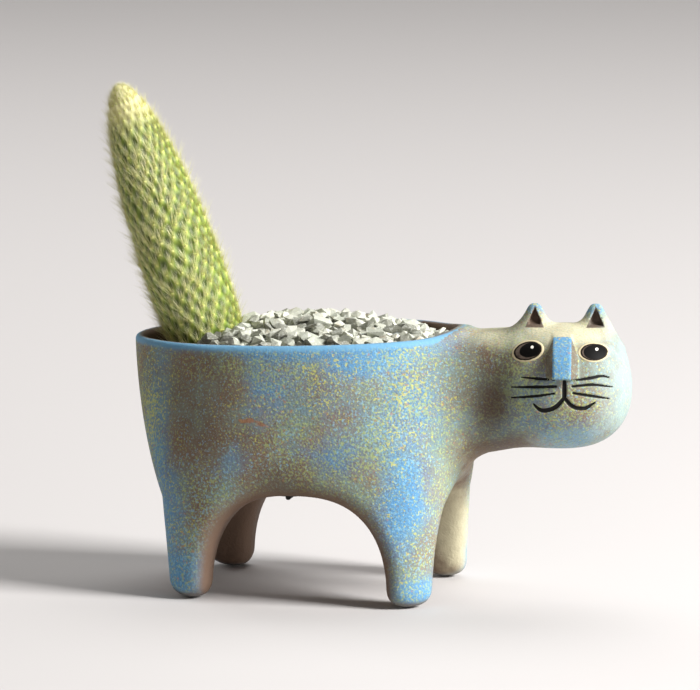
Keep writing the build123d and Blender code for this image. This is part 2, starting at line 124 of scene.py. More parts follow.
def curved(stops: Sequence[tuple[float, ...]], steps: int = 6) -> np.ndarray:
    """Points of a smooth curve through stops, with the stops' further values carried along.

    Args:
        stops: Two coordinates and any further values of each stop.
        steps: Points from one stop to the next.

    Returns:
        One row for each point, ending with the last stop.
    """
    knots = np.array([stops[0], *stops, stops[-1]], float)
    share = np.arange(steps)[:, None] / steps
    pieces = []
    for before, start, end, after in zip(knots, knots[1:], knots[2:], knots[3:]):
        square = 2 * before - 5 * start + 4 * end - after
        cube = 3 * start - before - 3 * end + after
        bend = square * share**2 + cube * share**3
        pieces.append(start + ((end - before) * share + bend) / 2)
    return np.concatenate([*pieces, knots[-1:]])


def line_depth(x: np.ndarray, y: np.ndarray, line: np.ndarray) -> np.ndarray:
    """How deep in a drawn line places lie.

    Args:
        x: Places along the first axis.
        y: Places along the second axis.
        line: Rows of two coordinates and half the line's width there.

    Returns:
        1 in the middle of the line, falling to 0 just past its edge.
    """
    nearest = np.full(x.shape, 1e9)
    for (ax, ay, ah), (bx, by, bh) in zip(line, line[1:]):
        length = (bx - ax) ** 2 + (by - ay) ** 2
        share = np.clip(((x - ax) * (bx - ax) + (y - ay) * (by - ay)) / length, 0, 1)
        away = np.hypot(x - ax - share * (bx - ax), y - ay - share * (by - ay))
        nearest = np.minimum(nearest, away / (ah + share * (bh - ah)))
    return 1 - ease(nearest, 0.45, 1.25)


def slope_of(shape: Field, points: np.ndarray, step: float = 0.05) -> np.ndarray:
    """Gradient of a field at points, from differences over a small step.

    Args:
        shape: The field.
        points: Rows of three coordinates in millimetres.
        step: How far to each side the field is read.

    Returns:
        One row of three slopes for each point.
    """
    columns = []
    for axis in range(3):
        nudge = np.zeros(3)
        nudge[axis] = step
        columns.append((shape(points + nudge) - shape(points - nudge)) / (2 * step))
    return np.stack(columns, 1)


def settle(shape: Field, points: np.ndarray, rounds: int, stride: float) -> np.ndarray:
    """Moves points onto the zero level of a field.

    Args:
        shape: The field, negative inside.
        points: Points near its surface.
        rounds: How often each point is moved.
        stride: The longest single move.

    Returns:
        The settled points.
    """
    for _ in range(rounds):
        slope = slope_of(shape, points)
        steep = np.maximum((slope * slope).sum(1), 0.05)
        move = np.clip(shape(points) / np.sqrt(steep), -stride, stride)
        points = points - slope * (move / np.sqrt(steep))[:, None]
    return points


def net_surface(values: np.ndarray, corner: np.ndarray, pitch: float) -> tuple[np.ndarray, np.ndarray]:
    """Wraps a net of four-sided faces round the inside of a sampled field.

    Args:
        values: The field on a regular grid.
        corner: Place of the grid's first sample.
        pitch: Distance between samples.

    Returns:
        The net's points and its faces, which point outwards.
    """
    inside = values < 0
    cells = np.array(values.shape) - 1
    offsets = [(i, j, k) for i in (0, 1) for j in (0, 1) for k in (0, 1)]
    count = np.zeros(cells, np.int8)
    for i, j, k in offsets:
        count += inside[i : i + cells[0], j : j + cells[1], k : k + cells[2]]
    active = (count > 0) & (count < 8)
    index = np.full(active.shape, -1)
    index[active] = np.arange(active.sum())
    where = np.argwhere(active)
    total = np.zeros((len(where), 3))
    hits = np.zeros(len(where))
    for offset in offsets:
        for axis in range(3):
            if offset[axis]:
                continue
            near = where + offset
            far = near.copy()
            far[:, axis] += 1
            start = values[tuple(near.T)]
            end = values[tuple(far.T)]
            crossed = (start < 0) != (end < 0)
            point = near[crossed].astype(float)
            point[:, axis] += start[crossed] / (start[crossed] - end[crossed])
            total[crossed] += point
            hits[crossed] += 1
    faces = []
    for axis in range(3):
        side, rise = (axis + 1) % 3, (axis + 2) % 3
        lower = np.take(inside, range(cells[axis]), axis)
        upper = np.take(inside, range(1, cells[axis] + 1), axis)
        edge = np.argwhere(lower != upper)
        fits = (edge[:, side] > 0) & (edge[:, side] < cells[side])
        edge = edge[fits & (edge[:, rise] > 0) & (edge[:, rise] < cells[rise])]
        ring = []
        for step_side, step_rise in ((-1, -1), (0, -1), (0, 0), (-1, 0)):
            cell = edge.copy()
            cell[:, side] += step_side
            cell[:, rise] += step_rise
            ring.append(index[tuple(cell.T)])
        quads = np.stack(ring, 1)
        inward = ~lower[tuple(edge.T)]
        quads[inward] = quads[inward][:, ::-1]
        faces.append(quads)
    return corner + pitch * total / hits[:, None], np.concatenate(faces)


def link(name: str, data: bpy.types.ID) -> bpy.types.Object:
    """Puts a mesh, lamp or camera into the scene.

    Args:
        name: The new object's name.
        data: What it shows.

    Returns:
        The object, at the origin.
    """
    made = bpy.data.objects.new(name, data)
    bpy.context.scene.collection.objects.link(made)
    return made


def add_mesh(
    name: str, points: np.ndarray, faces: Sequence[Sequence[int]], smooth: bool = True
) -> bpy.types.Object:
    """Links a new mesh object whose points are given in millimetres.

    Args:
        name: The object's name.
        points: One row of three coordinates for each point.
        faces: Point numbers of each face.
        smooth: Whether its faces are shaded smooth.

    Returns:
        The object, at the origin.
    """
    mesh = bpy.data.meshes.new(name)
    mesh.from_pydata((np.asarray(points) * MM).tolist(), [], [list(map(int, face)) for face in faces])
    mesh.polygons.foreach_set("use_smooth", [smooth] * len(mesh.polygons))
    mesh.update()
    return link(name, mesh)


def points_of(mesh: bpy.types.Mesh) -> np.ndarray:
    """A mesh's points in millimetres.

    Args:
        mesh: The mesh.

    Returns:
        One row of three coordinates for each point.
    """
    flat = np.zeros(len(mesh.vertices) * 3)
    mesh.vertices.foreach_get("co", flat)
    return flat.reshape(-1, 3) / MM


def mark(mesh: bpy.types.Mesh, name: str, values: np.ndarray) -> None:
    """Stores a number or a vector for each point of a mesh under a name.

    Args:
        mesh: The mesh.
        name: The name that finishes and node trees read.
        values: One number, or one row of three, for each point.
    """
    values = np.asarray(values, float)
    if values.ndim == 2:
        mesh.attributes.new(name, "FLOAT_VECTOR", "POINT").data.foreach_set("vector", values.ravel())
    else:
        mesh.attributes.new(name, "FLOAT", "POINT").data.foreach_set("value", values)


def discard(pieces: Sequence[bpy.types.Object]) -> None:
    """Removes helper objects together with their meshes.

    Args:
        pieces: Objects that nothing else uses.
    """
    for piece in pieces:
        mesh = piece.data
        bpy.data.objects.remove(piece)
        bpy.data.meshes.remove(mesh)


def dress_node(node: str, finish: bpy.types.Material) -> None:
    """Puts a finish on a CAD node that is shown as it is.

    Args:
        node: The node's name.
        finish: Its material.
    """
    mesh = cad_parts[node].data
    mesh.materials.clear()
    mesh.materials.append(finish)


# Node trees


def paint(code: str) -> tuple[float, float, float, float]:
    """Linear colour of a six-figure hex code.

    Args:
        code: Two figures each for red, green and blue.

    Returns:
        Red, green, blue and full opacity.
    """
    parts = [int(code[i : i + 2], 16) / 255 for i in (0, 2, 4)]
    linear = [p / 12.92 if p <= 0.04045 else ((p + 0.055) / 1.055) ** 2.4 for p in parts]
    return (linear[0], linear[1], linear[2], 1.0)


class Signal:
    """A shader value; expressions on it add the Math nodes that they need."""

    def __init__(self, board: "Board", socket: bpy.types.NodeSocket) -> None:
        """Keeps the socket and the board that its nodes are added to."""
        self.board = board
        self.socket = socket

    def _math(self, operation: str, first: "Signal | float", second: "Signal | float") -> "Signal":
        """Adds one Math node."""
        made = self.board.node("ShaderNodeMath", {"operation": operation}, {0: first, 1: second})
        return Signal(self.board, made.outputs[0])

    def __add__(self, other: "Signal | float") -> "Signal":
        """Sum."""
        return self._math("ADD", self, other)

    def __sub__(self, other: "Signal | float") -> "Signal":
        """Difference."""
        return self._math("SUBTRACT", self, other)

    def __rsub__(self, other: float) -> "Signal":
        """Difference from a number."""
        return self._math("SUBTRACT", other, self)

    def __mul__(self, other: "Signal | float") -> "Signal":
        """Product."""
        return self._math("MULTIPLY", self, other)

    def __truediv__(self, other: "Signal | float") -> "Signal":
        """Quotient."""
        return self._math("DIVIDE", self, other)

    def __pow__(self, other: "Signal | float") -> "Signal":
        """Power."""
        return self._math("POWER", self, other)

    def __rtruediv__(self, other: float) -> "Signal":
        """Quotient of a number."""
        return self._math("DIVIDE", other, self)

    def __rpow__(self, other: float) -> "Signal":
        """Power of a number."""
        return self._math("POWER", other, self)

    __radd__ = __add__
    __rmul__ = __mul__

    def larger(self, other: "Signal | float") -> "Signal":
        """The larger of two values."""
        return self._math("MAXIMUM", self, other)

    def between(self, low: float, high: float) -> "Signal":
        """The share of the way from one value to another, as a smooth step.

        Args:
            low: Value that gives 0.
            high: Value that gives 1; it may be the lower one.

        Returns:
            A signal from 0 to 1.
        """
        made = self.board.node(
            "ShaderNodeMapRange",
            {"interpolation_type": "SMOOTHSTEP", "clamp": True},
            {"Value": self, "From Min": low, "From Max": high},
        )
        return Signal(self.board, made.outputs[0])


class NodeSheet:
    """A node tree under construction."""

    tree: bpy.types.NodeTree

    def node(self, kind: str, settings: dict | None = None, inputs: dict | None = None) -> bpy.types.Node:
        """Adds a node.

        Args:
            kind: The node's type.
            settings: Its properties, set before its sockets.
            inputs: Values, sockets or signals for its input sockets, by name or number.

        Returns:
            The node.
        """
        made = self.tree.nodes.new(kind)
        for key, value in (settings or {}).items():
            setattr(made, key, value)
        self.feed(made, inputs or {})
        return made

    def feed(self, node: bpy.types.Node, inputs: dict) -> None:
        """Sets or links a node's input sockets.

        Args:
            node: The node.
            inputs: Values, sockets or signals, by the name or number of the socket.
        """
        for key, value in inputs.items():
            value = value.socket if isinstance(value, Signal) else value
            if isinstance(value, bpy.types.NodeSocket):
                self.tree.links.new(value, node.inputs[key])
            else:
                node.inputs[key].default_value = value


class Board(NodeSheet):
    """One material's node tree: colours laid over a base colour, on a single Principled shader."""

    def __init__(self, name: str, base: str) -> None:
        """Starts a material.

        Args:
            name: The material's name.
            base: Hex code of the colour under all others.
        """
        self.material = bpy.data.materials.new(name)
        self.material.use_nodes = True
        self.tree = self.material.node_tree
        self.tree.nodes.clear()
        self.shader = self.node("ShaderNodeBsdfPrincipled")
        self.node("ShaderNodeOutputMaterial", inputs={"Surface": self.shader.outputs[0]})
        self.place = self.node("ShaderNodeTexCoord").outputs["Object"]
        self.colour: tuple[float, ...] | bpy.types.NodeSocket = paint(base)

    def noise(self, scale: float, detail: float = 2.0, seed: float = 0.0, rough: float = 0.5) -> Signal:
        """Cloudy noise in the object's own space.

        Args:
            scale: Blotches per metre.
            detail: How many finer layers are added.
            seed: Shift that sets one noise apart from the next.
            rough: How strong the finer layers are.

        Returns:
            A signal around one half.
        """
        shift = (seed, -2 * seed, 3 * seed)
        shifted = self.node("ShaderNodeVectorMath", {"operation": "ADD"}, {0: self.place, 1: shift})
        made = self.node(
            "ShaderNodeTexNoise",
            None,
            {"Vector": shifted.outputs[0], "Scale": scale, "Detail": detail, "Roughness": rough},
        )
        return Signal(self, made.outputs[0])

    def attribute(self, name: str) -> Signal:
        """A number that the mesh stores under a name."""
        return Signal(self, self.node("ShaderNodeAttribute", {"attribute_name": name}).outputs["Fac"])

    def coat(self, share: Signal | float, code: str) -> None:
        """Lays the colour of a hex code over what is there, and covers it at a share of 1."""
        made = self.node("ShaderNodeMix", {"data_type": "RGBA"}, {0: share, 6: self.colour, 7: paint(code)})
        self.colour = made.outputs[2]

    def bump(self, height: Signal, depth: float, strength: float = 1.0) -> bpy.types.NodeSocket:
        """Normal of a surface raised by a height signal, depth in millimetres."""
        inputs = {"Strength": strength, "Distance": depth * MM, "Height": height}
        return self.node("ShaderNodeBump", None, inputs).outputs[0]

    def dress(self, inputs: dict) -> bpy.types.Material:
        """Feeds the shader the laid colour and its other inputs, and gives back the material."""
        self.feed(self.shader, {"Base Color": self.colour, **inputs})
        return self.material


class Scatter(NodeSheet):
    """A Geometry Nodes tree that sets variants of a small piece on the points of a carrier mesh."""

    most_variants: int = 999
    tumble: float = 0.6

    def __init__(self, name: str, placing: Placing) -> None:
        """Builds the tree with its named inputs.

        Args:
            name: The tree's name.
            placing: How its pieces are turned.
        """
        self.tree = bpy.data.node_groups.new(name, "GeometryNodeTree")
        self.keys: dict[str, str] = {}
        face = self.tree.interface
        face.new_socket("Geometry", in_out="OUTPUT", socket_type="NodeSocketGeometry")
        face.new_socket("Geometry", in_out="INPUT", socket_type="NodeSocketGeometry")
        for title, kind in (
            ("Variants", "NodeSocketCollection"),
            ("Smallest", "NodeSocketFloat"),
            ("Largest", "NodeSocketFloat"),
            ("Seed", "NodeSocketInt"),
            ("Finish", "NodeSocketMaterial"),
        ):
            self.keys[title] = face.new_socket(title, in_out="INPUT", socket_type=kind).identifier
        self._wire(placing)

    def _named(self, name: str, kind: str) -> bpy.types.NodeSocket:
        """A value that the carrier stores under a name."""
        return self.node("GeometryNodeInputNamedAttribute", {"data_type": kind}, {"Name": name}).outputs[0]

    def _wire(self, placing: Placing) -> None:
        """Links the nodes from the carrier to the finished pieces.

        Args:
            placing: How the pieces are turned.
        """
        given = self.node("NodeGroupInput")
        seed = given.outputs["Seed"]
        pool = self.node(
            "GeometryNodeCollectionInfo",
            None,
            {"Collection": given.outputs["Variants"], "Separate Children": True, "Reset Children": True},
        )
        pick = self.node(
            "FunctionNodeRandomValue",
            {"data_type": "INT"},
            {4: 0, 5: self.most_variants, "Seed": seed},
        )
        size = self.node(
            "FunctionNodeRandomValue",
            {"data_type": "FLOAT"},
            {2: given.outputs["Smallest"], 3: given.outputs["Largest"], "Seed": seed},
        )
        grown = self.node(
            "ShaderNodeMath",
            {"operation": "MULTIPLY"},
            {0: size.outputs[1], 1: self._named("growth", "FLOAT")},
        )
        if placing is Placing.TUMBLED:
            lowest = (-self.tumble, -self.tumble, 0.0)
            highest = (self.tumble, self.tumble, 2 * math.pi)
            turn = self.node(
                "FunctionNodeRandomValue",
                {"data_type": "FLOAT_VECTOR"},
                {0: lowest, 1: highest, "Seed": seed},
            ).outputs[0]
        else:
            turn = self.node(
                "FunctionNodeAxesToRotation",
                {"primary_axis": "Z", "secondary_axis": "X"},
                {0: self._named("out", "FLOAT_VECTOR"), 1: self._named("up", "FLOAT_VECTOR")},
            ).outputs[0]
        placed = self.node(
            "GeometryNodeInstanceOnPoints",
            None,
            {
                "Points": given.outputs["Geometry"],
                "Instance": pool.outputs[0],
                "Pick Instance": True,
                "Instance Index": pick.outputs[2],
                "Rotation": turn,
                "Scale": grown.outputs[0],
            },
        )
        tone = self.node("FunctionNodeRandomValue", {"data_type": "FLOAT"}, {2: 0.0, 3: 1.0, "Seed": seed})
        toned = self.node(
            "GeometryNodeStoreNamedAttribute",
            {"data_type": "FLOAT", "domain": "INSTANCE"},
            {"Geometry": placed.outputs[0], "Name": "tone", "Value": tone.outputs[1]},
        )
        whole = self.node("GeometryNodeRealizeInstances", None, {0: toned.outputs[0]})
        dressed = self.node(
            "GeometryNodeSetMaterial",
            None,
            {"Geometry": whole.outputs[0], "Material": given.outputs["Finish"]},
        )
        self.node("NodeGroupOutput", None, {0: dressed.outputs[0]})

    def grow(
        self,
        name: str,
        carrier: bpy.types.Object,
        variants: Sequence[bpy.types.Object],
        sizes: tuple[float, float],
        seed: int,
        finish: bpy.types.Material,
    ) -> bpy.types.Object:
        """Turns a carrier and variants into one plain mesh piece, and removes them.

        Args:
            name: The new piece's name.
            carrier: Mesh whose points hold the places.
            variants: Small pieces to set there.
            sizes: Smallest and largest scale of a set piece.
            seed: Start of its random draws.
            finish: Material of the whole.

        Returns:
            The finished piece, at the origin.
        """
        pool = bpy.data.collections.new(name + "_variants")
        for variant in variants:
            bpy.context.scene.collection.objects.unlink(variant)
            pool.objects.link(variant)
        modifier = carrier.modifiers.new("scatter", "NODES")
        modifier.node_group = self.tree
        values = {"Variants": pool, "Smallest": sizes[0], "Largest": sizes[1], "Seed": seed, "Finish": finish}
        for title, value in values.items():
            modifier[self.keys[title]] = value
        graph = bpy.context.evaluated_depsgraph_get()
        mesh = bpy.data.meshes.new_from_object(
            carrier.evaluated_get(graph), preserve_all_data_layers=True, depsgraph=graph
        )
        mesh.name = name
        carrier.modifiers.remove(modifier)
        discard([carrier, *variants])
        bpy.data.collections.remove(pool)
        return link(name, mesh)


def carrier_mesh(name: str, points: np.ndarray, growth: np.ndarray, **axes: np.ndarray) -> bpy.types.Object:
    """A mesh of loose points for a scatter, with their growth and any axes stored on it.

    Args:
        name: The object's name.
        points: Rows of three coordinates in millimetres.
        growth: Size of the piece on each point, against its variant.
        **axes: Directions at each point, by name.

    Returns:
        The object, at the origin.
    """
    made = add_mesh(name, points, [])
    mark(made.data, "growth", growth)
    for key, vectors in axes.items():
        mark(made.data, key, vectors)
    return made


# Finishes


@dataclass(frozen=True)
class SprayedClay:
    """Sandy unglazed clay, sprayed blue in places and spattered with fine coloured grains, with painted shade
    in its hollows and on its neck, and painted light on lit places.
    """

    clay: str = "9a816b"
    shade: str = "644f41"
    bare_grey_and_shade: str = "575248"
    shadow_umber: str = "3c2d25"
    blue: str = "5493c2"
    teal: str = "7c9a90"
    sky: str = "8cc3e0"
    lime: str = "a9b86e"
    yellow: str = "cfc95a"
    orange: str = "b5825a"
    pale: str = "cbc4a4"
    painted_light_tint: str = "98abaa"
    scrape: str = "9a6a4a"
    ink: str = "090706"
    band_blue: str = "6ea5c8"
    band: float = 2.4

    def make(self) -> bpy.types.Material:
        """Builds the material, which reads the shell's own marks.

        Returns:
            The material.
        """
        board = Board("sprayed_clay", self.clay)
        bare = board.attribute(Spray.BARE_AND_SHADED.value)
        brown = board.attribute(Spray.BROWN.value)
        # Unsprayed hollows, undersides and the neck, which also take painted shade.
        unsprayed_and_shaded = board.attribute("unsprayed_and_shaded").larger(brown)
        sprayed = (1.0 - unsprayed_and_shaded) * (1.0 - bare * 0.45)
        ragged = board.noise(170, 3, 1.0) - 0.5
        broad = board.noise(26, 3, 3.0) - 0.5
        board.coat(board.noise(45, 4, 2.0), self.shade)
        # Painted shade: hollows, arches and undersides darkened towards the shade colour, over their
        # unsprayed clay.
        board.coat(unsprayed_and_shaded * 0.8, self.shade)
        # Bare clay in grey; two bare patches low on the body are painted shade.
        board.coat(bare * 0.7, self.bare_grey_and_shade)
        # Painted shadow of the head on the neck, darkening its brown clay.
        board.coat(brown * 0.75, self.shadow_umber)
        # Pale paint on the crown, and painted light on the nape, chest, far front leg and chin.
        pale = (board.attribute(Spray.PALE_AND_LIT.value) + ragged * 0.5).between(0.1, 0.8)
        board.coat(pale * 0.9, self.pale)
        mist = (board.noise(60, 4, 4.0, 0.6) - bare * 0.2).between(0.3, 0.75)
        board.coat(mist * sprayed * 0.65, self.teal)
        cloud = board.attribute(Spray.BLUE.value) - bare * 0.5 + broad * 1.1 + ragged * 0.4
        board.coat((cloud + 0.3).between(0.25, 0.95) * sprayed * 0.88, self.blue)
        thick = (board.attribute(Spray.FLECK.value) - bare * 0.5) * 0.06
        for code, scale, level, seed, amount, swing in (
            (self.teal, 1000, 0.53, 15.0, 0.45, 0.35),
            (self.sky, 900, 0.6, 5.0, 0.45, 0.4),
            (self.shade, 900, 0.6, 9.0, 0.35, 0.3),
            (self.lime, 850, 0.57, 6.0, 0.55, 0.45),
            (self.yellow, 820, 0.64, 7.0, 0.65, 0.4),
            (self.orange, 560, 0.68, 8.0, 0.55, 0.25),
        ):
            drift = (board.noise(24, 2, seed + 20) - 0.5) * swing
            grain = (board.noise(scale, 1.2, seed) + drift + thick).between(level, level + 0.09)
            board.coat(grain * sprayed * amount, code)
        # Painted light on the head's forward side, which faces the key lamp.
        painted_glow = (board.attribute("painted_glow") + ragged * 0.7).between(0.2, 1.0)
        board.coat(painted_glow * 0.8, self.painted_light_tint)
        depth = board.attribute("rim") + ragged * 1.8
        board.coat(depth.between(self.band + 1.4, self.band - 1.0) * 0.9, self.band_blue)
        scrape = (board.attribute("scrape") + ragged * 1.6).between(0.4, 0.8)
        board.coat(scrape * 0.8, self.scrape)
        board.coat(board.attribute("ink").between(0.35, 0.6), self.ink)
        sand = board.noise(900, 2, 12.0) + board.noise(260, 2, 13.0) * 0.6
        return board.dress(
            {
                "Roughness": 0.82 - board.noise(500, 2, 14.0) * 0.16,
                "Normal": board.bump(sand, 0.32, 0.7),
                "Specular IOR Level": 0.3,
            }
        )


@dataclass(frozen=True)
class EyePaint:
    """A painted eye: a cream edge, a dark line, a dull white and a dark iris with one highlight."""

    name: str
    iris: tuple[float, float]
    iris_half: tuple[float, float]
    glint: tuple[float, float]
    glint_half: tuple[float, float] = (0.1, 0.15)
    edge: str = "cdbf9b"
    line: str = "1c1512"
    white: str = "75675c"
    dark: str = "080605"
    light: str = "efe9dd"

    def make(self) -> bpy.types.Material:
        """Builds the material on the eye's own map, whose rim is a circle of radius one half.

        Returns:
            The material.
        """
        board = Board(self.name, self.white)
        parts = board.node("ShaderNodeSeparateXYZ", None, {0: board.node("ShaderNodeUVMap").outputs[0]})
        x = Signal(board, parts.outputs[0]) * 2.0 - 1.0
        y = Signal(board, parts.outputs[1]) * 2.0 - 1.0
        wobble = (board.noise(420, 2, 3.0) - 0.5) * 0.1
        reach = (x * x + y * y) ** 0.5 + wobble
        spots = []
        for middle, half in ((self.iris, self.iris_half), (self.glint, self.glint_half)):
            across, along = (x - middle[0]) / half[0], (y - middle[1]) / half[1]
            spots.append((across * across + along * along) ** 0.5)
        iris, glint = spots[0] + wobble, spots[1] + wobble * 3.0
        board.coat(board.noise(500, 2, 5.0), self.line)
        board.coat(iris.between(1.06, 0.98), self.dark)
        board.coat(glint.between(1.1, 0.8), self.light)
        board.coat(reach.between(0.72, 0.76), self.line)
        board.coat(reach.between(0.84, 0.88), self.edge)
        return board.dress(
            {
                "Roughness": 0.7 - iris.between(1.06, 0.98) * 0.12,
                "Normal": board.bump(board.noise(900, 2, 6.0), 0.1, 0.4),
                "Specular IOR Level": 0.1,
            }
        )


@dataclass(frozen=True)
class CactusSkin:
    """Green flesh, dark between the knobs with painted shade in the creases, lighter on the knobs and creamy
    at the woolly tip.
    """

    crease_green_and_shade: str = "4c5e1e"
    green: str = "879c3a"
    knob: str = "c2c866"
    wool: str = "e4dca0"

    def make(self) -> bpy.types.Material:
        """Builds the material, which reads the stem's knob and wool marks.

        Returns:
            The material.
        """
        # Dark green between the knobs, deepened as painted shade in the creases.
        board = Board("cactus_skin", self.crease_green_and_shade)
        knob = board.attribute("knob")
        cloud = board.noise(130, 3, 1.0)
        board.coat((knob + (cloud - 0.5) * 0.5).between(0.0, 0.75), self.green)
        board.coat(knob.between(0.62, 1.0) * 0.8, self.knob)
        wool = board.attribute("wool") + (cloud - 0.5) * 0.3
        board.coat(wool.between(0.2, 0.9), self.wool)
        return board.dress(
            {
                "Roughness": 0.62 - cloud * 0.16,
                "Normal": board.bump(board.noise(700, 3, 2.0), 0.2, 0.6),
                "Subsurface Weight": 0.08,
                "Subsurface Radius": (0.002, 0.003, 0.001),
            }
        )


@dataclass(frozen=True)
class CactusBristle:
    """Fine straw-coloured bristles, woolly at the root and paler to the point."""

    root: str = "cbd070"
    shaft: str = "c6c27e"
    point: str = "efebcc"

    def make(self) -> bpy.types.Material:
        """Builds the material, which reads how far along each bristle a point lies.

        Returns:
            The material.
        """
        board = Board("cactus_bristle", self.root)
        along = board.attribute("along")
        tone = board.attribute("tone")
        board.coat(along.between(0.0, 0.35), self.shaft)
        board.coat(along.between(0.4, 1.0), self.point)
        board.coat(tone * 0.35, self.shaft)
        return board.dress({"Roughness": 0.5 + tone * 0.15})


@dataclass(frozen=True)
class ChippedStone:
    """Crushed stone: one tone to each chip, with darker veins and pale dust."""

    name: str
    pale: str
    dark: str
    tan: str
    dust: str = "d8dad2"

    def make(self) -> bpy.types.Material:
        """Builds the material, which reads each chip's own tone.

        Returns:
            The material.
        """
        board = Board(self.name, self.pale)
        tone = board.attribute("tone")
        cloud = board.noise(240, 4, 1.0, 0.6)
        board.coat((tone * 0.75 + cloud * 0.5 - 0.1).between(0.0, 1.0), self.dark)
        board.coat(board.noise(150, 2, 4.0).between(0.6, 0.75) * 0.6, self.tan)
        board.coat(board.noise(900, 2, 2.0).between(0.52, 0.72) * 0.55, self.dust)
        grit = board.noise(1200, 3, 3.0) + cloud
        return board.dress(
            {
                "Roughness": 0.94 - cloud * 0.12,
                "Normal": board.bump(grit, 0.35, 0.6),
            }
        )


@dataclass(frozen=True)
class PottingSoil:
    """Dark crumbly potting mix with bits of bark and white grit."""

    dark: str = "221811"
    brown: str = "49372a"
    grit: str = "a89c8a"

    def make(self) -> bpy.types.Material:
        """Builds the material, which changes only with its own grain.

        Returns:
            The material.
        """
        board = Board("potting_soil", self.dark)
        crumb = board.noise(420, 4, 1.0, 0.65)
        board.coat(crumb.between(0.35, 0.7), self.brown)
        board.coat(board.noise(520, 1, 2.0).between(0.7, 0.73), self.grit)
        return board.dress(
            {
                "Roughness": 0.98 - crumb * 0.08,
                "Normal": board.bump(crumb + board.noise(150, 3, 3.0), 1.4, 0.9),
            }
        )


@dataclass(frozen=True)
class MouldedPart:
    """A small moulded piece of rubber or plastic with a fine matt grain and dusty wear."""

    name: str
    base: str
    worn: str
    roughness: float

    def make(self) -> bpy.types.Material:
        """Builds the material, which changes only with its own grain.

        Returns:
            The material.
        """
        board = Board(self.name, self.base)
        cloud = board.noise(180, 4, 1.0, 0.6)
        board.coat(cloud.between(0.45, 0.8) * 0.6, self.worn)
        return board.dress(
            {
                "Roughness": self.roughness + (cloud - 0.5) * 0.25,
                "Normal": board.bump(board.noise(1500, 2, 2.0), 0.1, 0.4),
            }
        )


# Sub-assemblies


@dataclass(frozen=True)
class SprayPatch:
    """A place where the finish differs, seen from the cat's side; some patches lay painted shade and painted
    light.
    """

    kind: Spray
    x: float
    z: float
    half_x: float
    half_z: float
    strength: float
    far_side: bool = False

    def amount(self, points: np.ndarray) -> np.ndarray:
        """How much of the patch shows at points.

        Args:
            points: Rows of three coordinates in millimetres.

        Returns:
            The strength in its middle, fading outwards, and none on the near side of a far patch.
        """
        x, y, z = points.T
        away = ((x - self.x) / self.half_x) ** 2 + ((z - self.z) / self.half_z) ** 2
        shown = self.strength * np.exp(-away)
        return shown * (y > 0) if self.far_side else shown


@dataclass(frozen=True)
class Eye:
    """One painted eye, in millimetres across and up the face from the middle of the head."""

    name: str
    across: float
    up: float
    half_width: float
    half_height: float
    tilt: float
    paint: EyePaint


